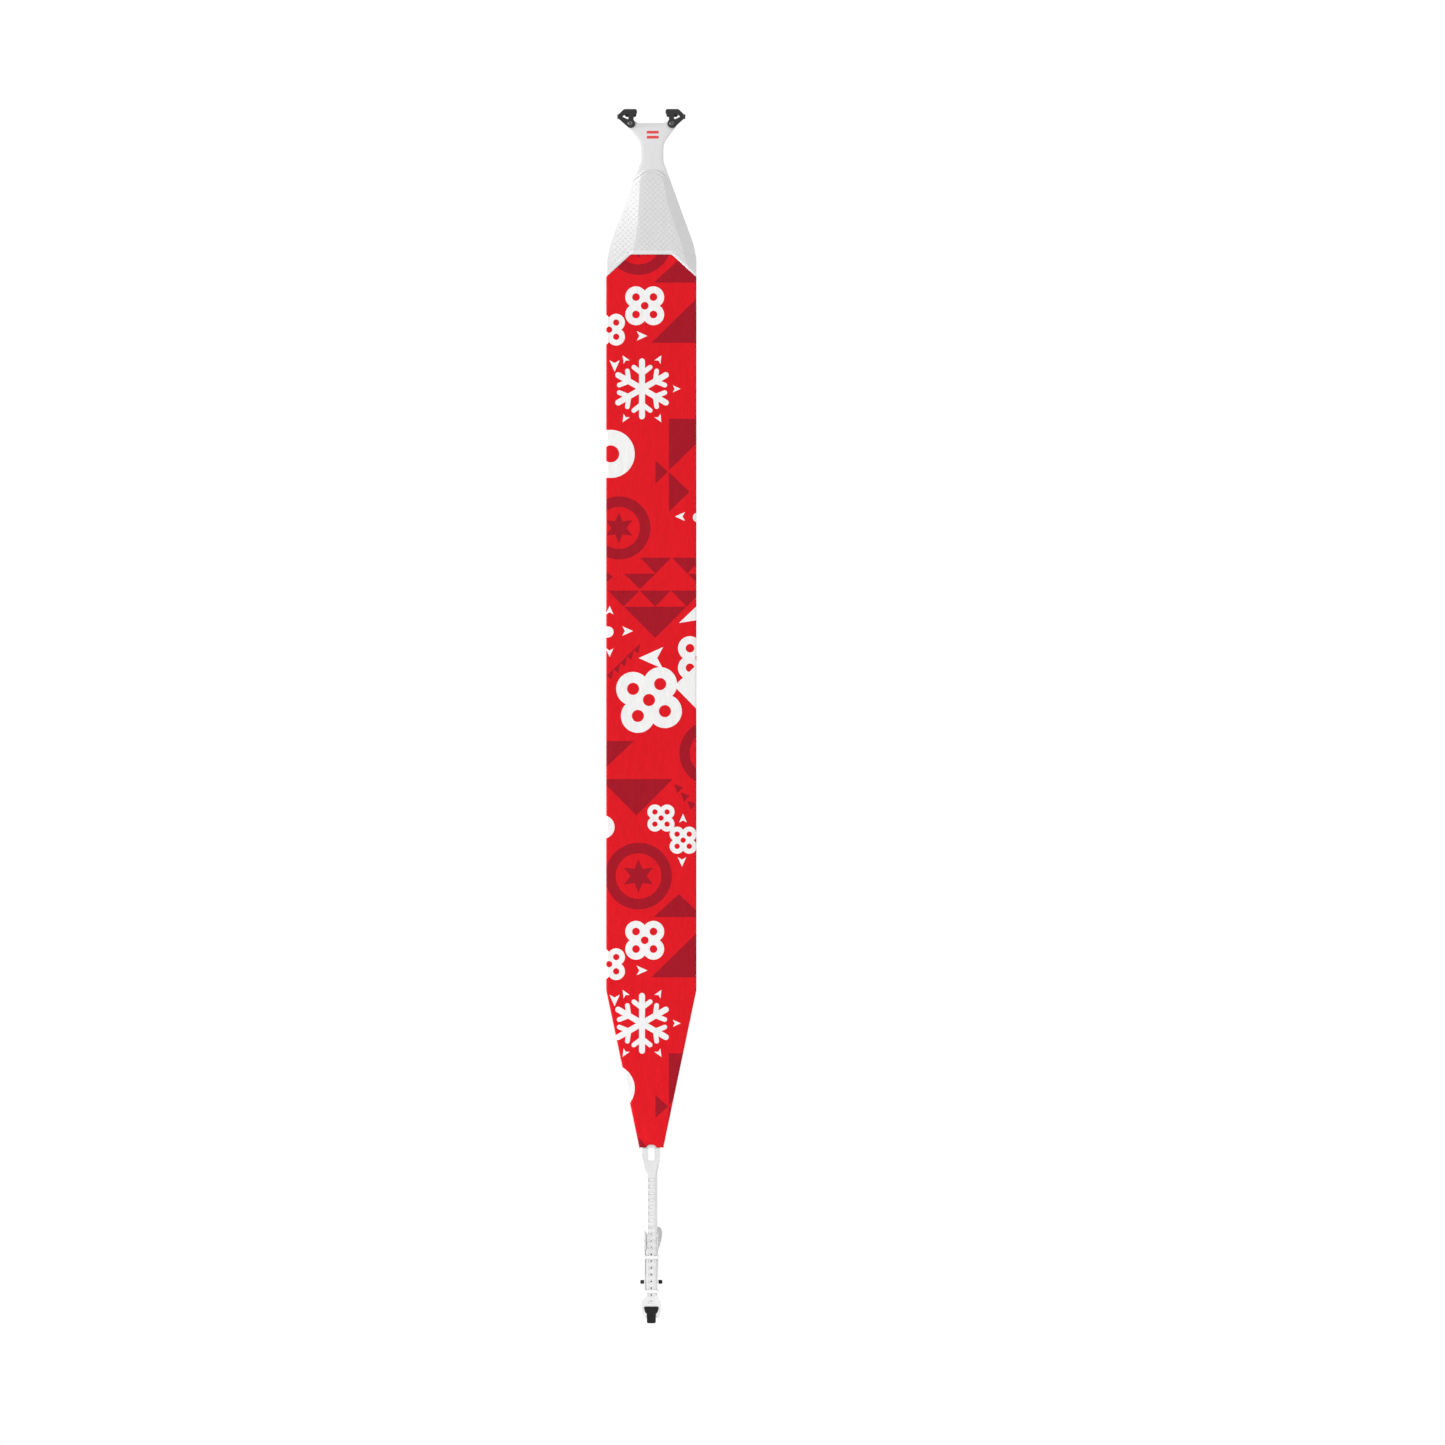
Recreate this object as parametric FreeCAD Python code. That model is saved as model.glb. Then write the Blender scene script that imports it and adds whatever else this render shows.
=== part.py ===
import FreeCAD, Part

# A climbing skin for a touring ski: a strip of printed plush with an adhesive back. A moulded yoke with two
# swivelling hooks catches the ski's tip, and a ladder strap with a cam clip hooks the ski's tail.
#
# Millimetres. +Z runs up the skin to the tip hooks and +X to the right. The plush faces -Y and the adhesive
# faces +Y, where the ski lies. Y = 0 is the adhesive's face, and Z = 0 is the line on which the two hooks
# bear on the ski tip's edge. The origin is the middle of that line, and the skin hangs straight down from it.

import math
import os

V = FreeCAD.Vector

# ---- the strip -------------------------------------------------------------------------------------------
SKIN_HALF = 65.0            # half the width of the full part of the strip
NECK_HALF = 17.4            # half the width of the yoke's neck
FLANK_TOP = -73.4           # where the neck begins to widen into the straight flanks of the nose
NOSE_TOP = -86.0            # the top of the nose cover's dome
DOME_END = -99.0            # where the dome meets the flanks
NOSE_SHOULDER = -192.0      # where the straight flanks end
NOSE_SHOULDER_HALF = 60.5
STRAIGHT_TOP = -213.0       # from here down the strip's sides are straight
FULL_WIDTH_TOP = -239.8     # where the cover ends at the strip's sides
PLUSH_TOP = -207.8          # the straight top edge of the open plush
PLUSH_TOP_HALF = 29.6
TAPER_TOP = -1269.8
TAIL_END = -1496.8
TAIL_HALF = 17.3
FOLD_Z = -914.0             # the line on which the skin folds in two
FOLD_GAP = 0.5

# Sections of the nose cover: height, thickness at the edges, left and right crease, thickness between them.
NOSE_SECTIONS = [
    (NOSE_TOP, 2.6, (-15.6, 15.6), 3.6),
    (-101.0, 2.4, (-16.2, 17.5), 4.0),
    (-132.0, 1.2, (-18.0, 23.5), 4.6),
    (-165.0, 1.1, (-19.5, 34.0), 4.8),
    (NOSE_SHOULDER, 1.3, (-24.0, 44.0), 4.7),
    (STRAIGHT_TOP, 1.8, (-28.0, 49.0), 4.2),
    (FULL_WIDTH_TOP, 2.5, (-31.0, 57.0), 3.4),
]

GLUE_TOP = -183.8
GLUE_END = -1448.8

# Each layer of the laminate, from the adhesive to the plush, as (back face, front face) along Y.
GLUE = (0.0, -0.4)
FILM = (-0.4, -0.6)
CLOTH = (-0.6, -1.2)
PLUSH = (-1.2, -3.6)
MOULDING = (-1.2, -3.4)     # the yoke and the ladder strap
EDGE_INSET = 0.4            # how far the nose cover stands past the layers under it
DOME_RADII = [14.0, 3.0]

# ---- the tip ---------------------------------------------------------------------------------------------
NECK_ROOT_TOP = -99.5       # under the nose cover the yoke is narrower
NECK_ROOT_HALF = 15.0
NECK_ROOT = -163.8          # lower end of the yoke
PIVOT_X, PIVOT_Z = 30.0, -18.6
LOBE_RADIUS = 7.2
RIVET_RADIUS = 2.5
RIVET_CLEARANCE = 0.06
HOOK_PLATE = (-6.1, -4.1)
HOOK_SHEET = 2.0
HOOK_HALF = 9.4             # half the length of the hook's bearing wall
HOOK_TOP = 20.6             # from the pivot up to the outside of the bearing wall
HOOK_BACK = 7.2             # how far behind the adhesive's plane the hook's lip reaches
NECK_RIVETS = [(-9.0, -108.8), (9.0, -108.8), (0.0, -148.8)]

# ---- the ladder strap ------------------------------------------------------------------------------------
STRAP_HALF = 8.6
STRAP_BAND_HALF = 5.9       # the flat face between the bevelled margins
STRAP_MARGIN_FRONT = -2.2
STRAP_HEAD_TOP = -1456.8
STRAP_HEAD_HALF = 13.0
STRAP_HEAD_END = -1511.0
STRAP_RUN_TOP = -1532.0
STRAP_STEP = -1498.3        # above it the strap is a thin flange between the plush and the cloth
FLANGE_FRONT = -2.4
RUNG_PITCH = 9.78
RUNG_TOP = -1543.6
RUNG_COUNT = 19
POCKET_HALF_WIDTH = 4.8     # the shallow pocket between two rungs, on each face of the strap
POCKET_HALF_HEIGHT = 2.3
POCKET_DEPTH = 0.5
POCKET_BORE = 1.15
PADDLE_TOP = -1714.0
PADDLE_HALF = 14.0
STRAP_END = -1746.8
SKIN_END = -1750.8
TAIL_RIVETS = [(-7.5, -1472.8), (7.5, -1472.8)]
COLLAR_TOP = -1726.6
COLLAR = (0.1, -4.6)        # the pull tab's collar and its finger, along Y
FINGER = (0.0, -4.4)

# ---- the tail clip ---------------------------------------------------------------------------------------
SLIDE_GAP = 0.3             # between the strap and what slides on it
BODY_HALF = 10.3            # outside of the clip body's side walls
BODY_WALL = 1.4
BODY_FRONT, BODY_BACK = -4.7, 9.2
BODY_TOP, BODY_END = -1646.0, -1706.8
SHEET = 1.2                 # the hook's steel
LIP_TOP = -1612.3
LIP_FRONT = 10.4            # where the lip's bulging face is nearest to the strap
LIP_CURVE = 45.0
CLAW_TOP = -1617.0
TONGUE_END = -1668.0
HOOK_RIVETS = [(-4.2, -1658.0), (4.2, -1658.0)]
HOOK_RIVET_RADIUS = 1.5
BODY_BARS = [(-1653.4, -1658.0), (-1702.8, BODY_END)]   # the bars across the strap's front
CAM_BAY_TOP = -1676.0       # below it the body's back and the guide block leave room for the cam
HANDLE_BAY_TOP = -1697.0    # below it the body's back corner is cut off for the handle's swing
GUIDE_TOP, GUIDE_END = -1647.4, -1684.6
AXLE_Y, AXLE_Z = 5.0, -1691.8
AXLE_RADIUS = 2.0
AXLE_HALF = 13.0
CAP_END = 16.0              # outer end of the axle's caps
DRUM_RADIUS = 5.4
DRUM_HALF = 8.4
TOOTH_COUNT = 5
TOOTH_TIP, TOOTH_FOOT = 5.75, 4.6   # distances from the axle
HANDLE_HALF = 6.6
HANDLE_END = -1719.8
SPRING_RADIUS = 3.1
SPRING_WIRE = 0.4
SPRING_TURNS = 3


# ---- drawing helpers -------------------------------------------------------------------------------------
def across(u, v):
    """Plan coordinates (x, z) as a point of the XZ plane."""
    return V(u, 0, v)


def along(u, v):
    """Profile coordinates (y, z) as a point of the YZ plane."""
    return V(0, u, v)


def rounded_wire(points, radii, place):
    """A closed wire through the points, its corners rounded to the radii (one for all, or one for each)."""
    corners = [place(*p) for p in points]
    sizes = radii if isinstance(radii, list) else [radii] * len(points)
    spans, edges = [], []
    for i, corner in enumerate(corners):
        back = (corners[i - 1] - corner).normalize()
        ahead = (corners[(i + 1) % len(corners)] - corner).normalize()
        half = back.getAngle(ahead) / 2
        if sizes[i] <= 0 or half > math.pi / 2 - 1e-4:
            spans.append((corner, None, corner))
            continue
        reach = sizes[i] / math.tan(half)
        middle = (back + ahead).normalize() * (sizes[i] / math.sin(half) - sizes[i])
        spans.append((corner + back * reach, corner + middle, corner + ahead * reach))
    for i, (start, middle, end) in enumerate(spans):
        if middle is not None:
            edges.append(Part.Arc(start, middle, end).toShape())
        following = spans[(i + 1) % len(spans)][0]
        if end.distanceToPoint(following) > 1e-6:
            edges.append(Part.makeLine(end, following))
    return Part.Wire(edges)


def both_sides(half, radii=None):
    """A symmetric outline from its right half, listed from top to bottom, with radii in that order."""
    points = half + [(-x, z) for x, z in reversed(half)]
    if radii is None:
        return points
    return points, radii + radii[::-1]


def plate(points, layer, radii=0.0):
    """A flat plate with an outline in the XZ plane, between two values of Y."""
    face = Part.Face(rounded_wire(points, radii, across))
    face.translate(V(0, layer[0], 0))
    return face.extrude(V(0, layer[1] - layer[0], 0))


def rod(radius, x, z, start, end):
    """A round bar along Y."""
    return Part.makeCylinder(radius, abs(end - start), V(x, min(start, end), z), V(0, 1, 0))


def bar(radius, y, z, start, end):
    """A round bar along X."""
    return Part.makeCylinder(radius, end - start, V(start, y, z), V(1, 0, 0))


def block(x, y, z):
    """A box from three pairs of limits."""
    low = [min(pair) for pair in (x, y, z)]
    size = [abs(pair[1] - pair[0]) for pair in (x, y, z)]
    return Part.makeBox(*size, V(*low))


def profile(points, radii, half_width):
    """A prism along X with an outline in the YZ plane."""
    face = Part.Face(rounded_wire(points, radii, along))
    face.translate(V(-half_width, 0, 0))
    return face.extrude(V(2 * half_width, 0, 0))


def mirrored(shape):
    return shape.mirror(V(0, 0, 0), V(1, 0, 0))


def eased(shape, size, keep):
    """The shape with every edge that keep() picks filleted."""
    return shape.makeFillet(size, [e for e in shape.Edges if keep(e)])


def lies_at_y(*values):
    """Picks the edges that lie wholly on one of the planes Y = value."""
    return lambda e: any(max(abs(e.BoundBox.YMin - y), abs(e.BoundBox.YMax - y)) < 1e-4 for y in values)


# ---- outlines of the strip -------------------------------------------------------------------------------
def flank_half(z):
    """Half the strip's width at a height on the nose."""
    share = (FLANK_TOP - z) / (FLANK_TOP - NOSE_SHOULDER)
    return NECK_HALF + share * (NOSE_SHOULDER_HALF - NECK_HALF)


def taper_half(z):
    """Half the strip's width at a height on the tail's taper."""
    share = (TAPER_TOP - z) / (TAPER_TOP - TAIL_END)
    return SKIN_HALF + share * (TAIL_HALF - SKIN_HALF)


def domed_top(inset):
    """The right half of the nose's domed top, drawn in by a small margin."""
    lower = DOME_END - inset
    return [(9.5, NOSE_TOP - inset), (flank_half(lower) - inset, lower)]


def front_outline(start):
    """Cloth, film or adhesive above the fold, from the points that its top starts with."""
    half = start + [(NOSE_SHOULDER_HALF, NOSE_SHOULDER), (SKIN_HALF, STRAIGHT_TOP)]
    half.append((SKIN_HALF, FOLD_Z + FOLD_GAP / 2))
    return both_sides(half, DOME_RADII[-len(start):] + [30.0, 30.0, 0.0])


def rear_outline(end):
    """Cloth, film or adhesive below the fold, to a height on the tail."""
    half = [(SKIN_HALF, FOLD_Z - FOLD_GAP / 2), (SKIN_HALF, TAPER_TOP), (taper_half(end), end)]
    return both_sides(half, [0.0, 20.0, 1.5])


def plush_front_outline():
    half = [(PLUSH_TOP_HALF, PLUSH_TOP), (SKIN_HALF, FULL_WIDTH_TOP), (SKIN_HALF, FOLD_Z + FOLD_GAP / 2)]
    return both_sides(half, [8.0, 1.0, 0.0])


def plush_rear_outline():
    """The tail edge has a shallow arch over the strap's window."""
    half = [(SKIN_HALF, FOLD_Z - FOLD_GAP / 2), (SKIN_HALF, TAPER_TOP), (TAIL_HALF, TAIL_END)]
    half += [(8.0, TAIL_END), (4.0, TAIL_END + 4.0)]
    return both_sides(half, [0.0, 20.0, 1.5, 3.0, 3.0])


# ---- the strip's layers ----------------------------------------------------------------------------------
def layers():
    """The four laminated layers, each in one piece above the fold and one below it."""
    made = {}
    bare_top = [(flank_half(GLUE_TOP), GLUE_TOP)]
    under = {"adhesive": (GLUE, bare_top, GLUE_END), "film": (FILM, domed_top(EDGE_INSET), TAIL_END),
             "cloth": (CLOTH, domed_top(EDGE_INSET), TAIL_END)}
    for name, (layer, start, end) in under.items():
        points, radii = front_outline(start)
        made[name + "_front"] = plate(points, layer, radii)
        points, radii = rear_outline(end)
        made[name + "_rear"] = plate(points, layer, radii)
    points, radii = plush_front_outline()
    made["plush_front"] = plate(points, PLUSH, radii)
    points, radii = plush_rear_outline()
    made["plush_rear"] = plate(points, PLUSH, radii)
    return made


# ---- the nose --------------------------------------------------------------------------------------------
def nose_section(z, half, edge, crease, crown):
    """One cross-section of the nose cover: flat against the cloth, with a crown between two creases."""
    back = CLOTH[1]
    corners = [(-half, back), (half, back), (half, back - edge), (crease[1], back - crown)]
    corners += [(crease[0], back - crown), (-half, back - edge)]
    return Part.makePolygon([V(x, y, z) for x, y in corners + corners[:1]])


def nose_cover():
    """The moulded cover over the plush's leading edge: a crown and two flanks, under a domed top."""
    sections = []
    for z, edge, crease, crown in NOSE_SECTIONS:
        sections.append(nose_section(z, min(flank_half(z), SKIN_HALF), edge, crease, crown))
    roof = Part.makeLoft(sections, True, True)
    half = domed_top(0.0) + [(NOSE_SHOULDER_HALF, NOSE_SHOULDER), (SKIN_HALF, STRAIGHT_TOP)]
    half += [(SKIN_HALF, FULL_WIDTH_TOP), (PLUSH_TOP_HALF, PLUSH_TOP)]
    points, radii = both_sides(half, DOME_RADII + [30.0, 30.0, 0.6, 8.0])
    return roof.common(plate(points, (PLUSH[0] + 1.0, PLUSH[1] - 5.0), radii))


def tip_patch():
    """The thin patch behind the yoke's root, which the neck rivets clamp."""
    end = GLUE_TOP + 0.8
    points, radii = both_sides(domed_top(2 * EDGE_INSET) + [(flank_half(end), end)], DOME_RADII + [0.0])
    return plate(points, GLUE, radii)


def set_rivets(places, front, head_radius=4.0, shank_radius=1.6):
    """Rivets through the laminate, each with a domed head behind it and a flat burr, as one group."""
    made = []
    for x, z in places:
        head = rod(head_radius, x, z, 0.0, 0.9)
        head = eased(head, 0.6, lies_at_y(0.9))
        shank = rod(shank_radius, x, z, front + 0.5, 0.0)
        burr = rod(head_radius - 1.0, x, z, front, front + 0.5)
        made.append(head.fuse([shank, burr]).removeSplitter())
    return Part.makeCompound(made)


def tip_yoke():
    """The moulded Y: a neck that widens and runs under the nose cover, and two arms to the pivots."""
    half = [(18.0, PIVOT_Z + 0.6), (24.0, PIVOT_Z + 3.4), (PIVOT_X, PIVOT_Z + LOBE_RADIUS)]
    half += [(PIVOT_X + LOBE_RADIUS, PIVOT_Z), (PIVOT_X + 3.4, PIVOT_Z - 7.4), (NECK_HALF, -46.8)]
    half += [(NECK_HALF, FLANK_TOP), (flank_half(NECK_ROOT_TOP), NECK_ROOT_TOP)]
    half += [(NECK_ROOT_HALF, NECK_ROOT_TOP - 2.5), (NECK_ROOT_HALF, NECK_ROOT)]
    points, radii = both_sides(half, [10.0, 4.0, 0.0, 0.0, 4.0, 24.0, 12.0, 1.0, 1.0, 8.0])
    yoke = plate(points, MOULDING, radii)
    for side in (-1, 1):
        yoke = yoke.fuse(rod(LOBE_RADIUS, side * PIVOT_X, PIVOT_Z, *MOULDING))
    yoke = yoke.removeSplitter()
    yoke = eased(yoke, 0.7, lies_at_y(MOULDING[1]))
    bores = [rod(RIVET_RADIUS, side * PIVOT_X, PIVOT_Z, 1.0, -9.0) for side in (-1, 1)]
    return yoke.cut(bores)


# ---- the tip hooks: drawn for the right one, mirrored for the left ---------------------------------------
def tip_hook():
    """A pressed hook: a front plate with a window, a bearing wall over the ski's edge and a lip behind it."""
    def here(points):
        return [(PIVOT_X + u, PIVOT_Z + v) for u, v in points]

    outline = here([(-HOOK_HALF, HOOK_TOP), (HOOK_HALF, HOOK_TOP), (18.6, 11.4), (18.6, 8.0), (4.1, -5.1),
                    (-4.1, -5.1), (-4.8, 12.8), (-HOOK_HALF, 13.4)])
    front = plate(outline, HOOK_PLATE, [3.0, 5.0, 2.2, 2.2, 0.0, 0.0, 1.0, 2.4])
    front = front.fuse(rod(6.6, PIVOT_X, PIVOT_Z, *HOOK_PLATE))
    inside, outside = HOOK_TOP - HOOK_SHEET, HOOK_TOP
    lip = HOOK_BACK - HOOK_SHEET
    bent = [(HOOK_PLATE[0], 13.0), (HOOK_PLATE[0], outside), (HOOK_BACK, outside), (HOOK_BACK, 10.4),
            (lip, 10.4), (lip, inside), (HOOK_PLATE[1], inside), (HOOK_PLATE[1], 13.0)]
    wall = profile([(y, PIVOT_Z + v) for y, v in bent], [0.0, 3.0, 3.0, 0.9, 0.9, 1.0, 1.0, 0.0], HOOK_HALF)
    wall.translate(V(PIVOT_X, 0, 0))
    ends = here([(-HOOK_HALF, HOOK_TOP), (HOOK_HALF, HOOK_TOP), (HOOK_HALF - 1.6, 10.0),
                 (1.6 - HOOK_HALF, 10.0)])
    wall = wall.common(plate(ends, (HOOK_PLATE[0], HOOK_BACK), [3.0, 3.0, 3.6, 3.6]))
    roll_foot = V(PIVOT_X + 17.2, HOOK_PLATE[1] - 0.4, PIVOT_Z + 6.5)
    thumb_roll = Part.makeCylinder(2.0, 6.4, roll_foot, V(0, 0, 1))
    window = plate(here([(3.0, 14.2), (12.8, 9.9), (3.0, 5.4)]), (HOOK_PLATE[0] - 1, HOOK_PLATE[1] + 1), 1.2)
    hook = front.fuse([wall, thumb_roll]).removeSplitter()
    return hook.cut([window, rod(RIVET_RADIUS + RIVET_CLEARANCE, PIVOT_X, PIVOT_Z, -9.0, 9.0)])


def tip_rivet():
    """The shouldered pivot rivet, with its clenched end recessed in front of the ski."""
    head = rod(3.8, PIVOT_X, PIVOT_Z, HOOK_PLATE[0] - 0.1, HOOK_PLATE[0] - 1.4)
    head = eased(head, 0.9, lies_at_y(HOOK_PLATE[0] - 1.4)).cut(rod(1.3, PIVOT_X, PIVOT_Z, -9.0, -6.9))
    shank = rod(RIVET_RADIUS, PIVOT_X, PIVOT_Z, HOOK_PLATE[0] - 0.1, -0.4)
    clench = rod(3.6, PIVOT_X, PIVOT_Z, -0.4, 0.0)
    hollow = rod(1.4, PIVOT_X, PIVOT_Z, -1.4, 0.1)
    return head.fuse([shank, clench]).removeSplitter().cut(hollow)


def ring(radius, start, end):
    """A washer on the pivot rivet."""
    bore = rod(RIVET_RADIUS, PIVOT_X, PIVOT_Z, start - 1, end + 1)
    return rod(radius, PIVOT_X, PIVOT_Z, start, end).cut(bore)


# ---- the ladder strap ------------------------------------------------------------------------------------
def rung_heights():
    return [RUNG_TOP - i * RUNG_PITCH for i in range(RUNG_COUNT)]


def strap_outline(run_half):
    """The strap's outline, with its long straight run made as narrow as asked."""
    reach = 1.6 * (STRAP_HALF - run_half)
    half = [(STRAP_HEAD_HALF, STRAP_HEAD_TOP), (STRAP_HEAD_HALF, STRAP_HEAD_END)]
    half += [(run_half, STRAP_RUN_TOP - reach), (run_half, PADDLE_TOP + 1.4 + reach)]
    half += [(PADDLE_HALF, PADDLE_TOP - 4.6), (PADDLE_HALF, -1731.0), (11.6, -1743.4), (6.0, -1743.4)]
    half += [(6.0, STRAP_END)]
    return both_sides(half, [4.0, 16.0, 20.0, 5.0, 4.0, 10.0, 1.5, 0.0, 1.5])


def ladder_strap():
    """The strap: a thin riveted flange, a window, a bevelled ladder of holed pockets and a wide end."""
    points, radii = strap_outline(STRAP_HALF)
    strap = plate(points, (MOULDING[0], STRAP_MARGIN_FRONT), radii)
    points, radii = strap_outline(STRAP_BAND_HALF)
    raised = plate(points, (STRAP_MARGIN_FRONT, MOULDING[1]), radii)
    bevel = [(-STRAP_HALF, STRAP_MARGIN_FRONT), (STRAP_HALF, STRAP_MARGIN_FRONT)]
    bevel += [(STRAP_BAND_HALF, MOULDING[1]), (-STRAP_BAND_HALF, MOULDING[1])]
    section = Part.Face(Part.makePolygon([V(x, y, STRAP_RUN_TOP) for x, y in bevel + bevel[:1]]))
    run = section.extrude(V(0, 0, PADDLE_TOP - STRAP_RUN_TOP))
    strap = strap.fuse([raised, run]).removeSplitter()
    strap = strap.cut(block((-20, 20), (FLANGE_FRONT, -9.0), (STRAP_STEP, STRAP_HEAD_TOP + 5)))
    tools = [plate(both_sides([(4.6, -1497.8), (4.6, -1515.8)]), (2.0, -9.0), 1.6)]
    for z in rung_heights():
        for face in MOULDING:
            depth = (face - POCKET_DEPTH, face + POCKET_DEPTH)
            height = (z - POCKET_HALF_HEIGHT, z + POCKET_HALF_HEIGHT)
            tools.append(block((-POCKET_HALF_WIDTH, POCKET_HALF_WIDTH), depth, height))
        tools.append(rod(POCKET_BORE, 0.0, z, 1.0, -6.0))
    return strap.cut(tools)


def pull_tab():
    """The soft grip moulded round the strap's wide end."""
    collar = plate(both_sides([(11.3, COLLAR_TOP), (8.4, COLLAR_TOP - 9.4)]), COLLAR, [2.0, 1.5, 1.5, 2.0])
    finger = plate(both_sides([(6.8, COLLAR_TOP - 6.4), (6.4, SKIN_END)]), FINGER, [0.0, 2.2, 2.2, 0.0])
    tab = eased(collar, 0.6, lies_at_y(*COLLAR)).fuse(eased(finger, 0.6, lies_at_y(*FINGER)))
    grooves = []
    for y in (FINGER[0] + 0.1, FINGER[1] - 0.1):
        grooves += [bar(0.5, y, SKIN_END + rise, -4.4, 4.4) for rise in (10.8, 7.8, 4.8)]
    return tab.removeSplitter().cut(grooves)


def tail_patch():
    end = GLUE_END - 0.8
    half = [(taper_half(end), end), (taper_half(TAIL_END + 1.5), TAIL_END + 1.5)]
    return plate(both_sides(half), GLUE, [0.0, 2.0, 2.0, 0.0])


# ---- the tail clip ---------------------------------------------------------------------------------------
def tail_hook():
    """The steel hook: a lip that bulges towards the ski's tail, a floor, a tongue and two claws."""
    inside = STRAP_HALF + SLIDE_GAP
    wide = inside + SHEET
    centre = V(0, LIP_FRONT + LIP_CURVE, BODY_TOP)
    tall = LIP_TOP - BODY_TOP
    behind = Part.makeCylinder(LIP_CURVE - SHEET, tall, centre)
    lip = Part.makeCylinder(LIP_CURVE, tall, centre).cut(behind)
    floor = block((-wide, wide), (MOULDING[0] + 0.6, LIP_FRONT + 2 * SHEET), (BODY_TOP, BODY_TOP + SHEET))
    floor = floor.cut(behind)
    half = [(9.0, LIP_TOP), (14.2, LIP_TOP - 2.6), (15.8, LIP_TOP - 10.0), (14.0, LIP_TOP - 21.0)]
    half += [(wide, BODY_TOP)]
    points, radii = both_sides(half, [6.0, 5.0, 12.0, 12.0, 0.0])
    lip = lip.common(plate(points, (0.0, LIP_CURVE), radii))
    tongue = plate(both_sides([(8.0, BODY_TOP + 0.2), (8.0, TONGUE_END)]), (BODY_BACK, BODY_BACK + SHEET),
                   [0.0, 3.0, 3.0, 0.0])
    front = MOULDING[1] - SLIDE_GAP
    claw = block((inside, wide), (MOULDING[0] + 1.0, front - 0.8), (BODY_TOP, CLAW_TOP))
    claw = claw.fuse(block((7.4, wide), (front, front - 0.8), (BODY_TOP, CLAW_TOP)))
    side = [(2.0, BODY_TOP), (-3.0, BODY_TOP), (front - 1, BODY_TOP + 2.0), (front - 1, CLAW_TOP - 7.0)]
    side += [(-2.6, CLAW_TOP), (2.0, CLAW_TOP)]
    lens = profile(side, [0.0, 0.0, 1.5, 6.0, 1.5, 0.0], 2 * wide)
    claw = claw.removeSplitter().common(lens)
    hook = lip.fuse([floor, tongue, claw, mirrored(claw)]).removeSplitter()
    return hook.cut([rod(HOOK_RIVET_RADIUS, x, z, 7.0, 12.0) for x, z in HOOK_RIVETS])


def hook_rivets():
    """The rivets that hold the hook's tongue to the clip's body, as one group."""
    made = []
    for x, z in HOOK_RIVETS:
        head = rod(2.8, x, z, BODY_BACK + SHEET, BODY_BACK + SHEET + 0.9)
        head = eased(head, 0.6, lies_at_y(BODY_BACK + SHEET + 0.9))
        shank = rod(HOOK_RIVET_RADIUS, x, z, BODY_BACK - BODY_WALL, BODY_BACK + SHEET)
        burr = rod(2.5, x, z, BODY_BACK - BODY_WALL - 0.6, BODY_BACK - BODY_WALL)
        made.append(head.fuse([shank, burr]).removeSplitter())
    return Part.makeCompound(made)


def clip_body():
    """The moulded body behind the strap, with two bars across the strap's front and the cam's bearings."""
    inner = BODY_HALF - BODY_WALL
    wide = BODY_HALF + 1
    body = block((-BODY_HALF, BODY_HALF), (BODY_FRONT, BODY_BACK), (BODY_TOP, BODY_END))
    body = eased(body, 1.0, lambda e: e.BoundBox.ZLength > 50)
    front = (BODY_FRONT - 1, MOULDING[1] - SLIDE_GAP)
    cuts = [block((-inner, inner), (front[1], BODY_BACK - BODY_WALL), (BODY_TOP + 1, BODY_END - 1))]
    cuts.append(block((-wide, wide), front, (BODY_TOP + 1, BODY_BARS[0][0])))
    cuts.append(block((-wide, wide), front, (BODY_BARS[0][1], BODY_BARS[1][0])))
    cuts.append(block((-inner, inner), (BODY_BACK - 2, BODY_BACK + 1), (CAM_BAY_TOP, BODY_END - 1)))
    corner = [(BODY_BACK + 1, HANDLE_BAY_TOP), (BODY_BACK + 1, BODY_END - 1), (1.0, BODY_END - 1)]
    cuts.append(profile(corner, 0.0, wide))
    cuts += [rod(HOOK_RIVET_RADIUS, x, z, 7.0, 12.0) for x, z in HOOK_RIVETS]
    cuts.append(bar(AXLE_RADIUS, AXLE_Y, AXLE_Z, -wide, wide))
    return body.cut(cuts)


def guide_block():
    """The slide block inside the body that keeps the strap against its bars."""
    half = BODY_HALF - BODY_WALL
    strap_side = MOULDING[0] + 0.5
    body = block((-half, half), (strap_side, BODY_BACK - BODY_WALL), (GUIDE_TOP, GUIDE_END))
    lead_in = [(strap_side - 1, GUIDE_TOP + 1), (strap_side + 1.6, GUIDE_TOP + 1)]
    lead_in.append((strap_side - 1, GUIDE_TOP - 3))
    cam_bay = block((-half - 1, half + 1), (3.0, BODY_BACK), (CAM_BAY_TOP, GUIDE_END - 1))
    rivet_pocket = block((-7.2, 7.2), (3.0, BODY_BACK), (GUIDE_TOP - 3.6, CAM_BAY_TOP + 4.0))
    return body.cut([profile(lead_in, 0.0, half + 1), cam_bay, rivet_pocket])


def cam_axle():
    return bar(AXLE_RADIUS, AXLE_Y, AXLE_Z, -AXLE_HALF, AXLE_HALF)


def axle_caps():
    """The two push-on caps, as one group."""
    cap = bar(2.8, AXLE_Y, AXLE_Z, BODY_HALF, CAP_END)
    cap = cap.makeFillet(1.6, [e for e in cap.Edges if e.BoundBox.XMin > CAP_END - 0.1])
    cap = cap.cut(bar(AXLE_RADIUS, AXLE_Y, AXLE_Z, 0.0, AXLE_HALF))
    return Part.makeCompound([cap, mirrored(cap)])


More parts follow.
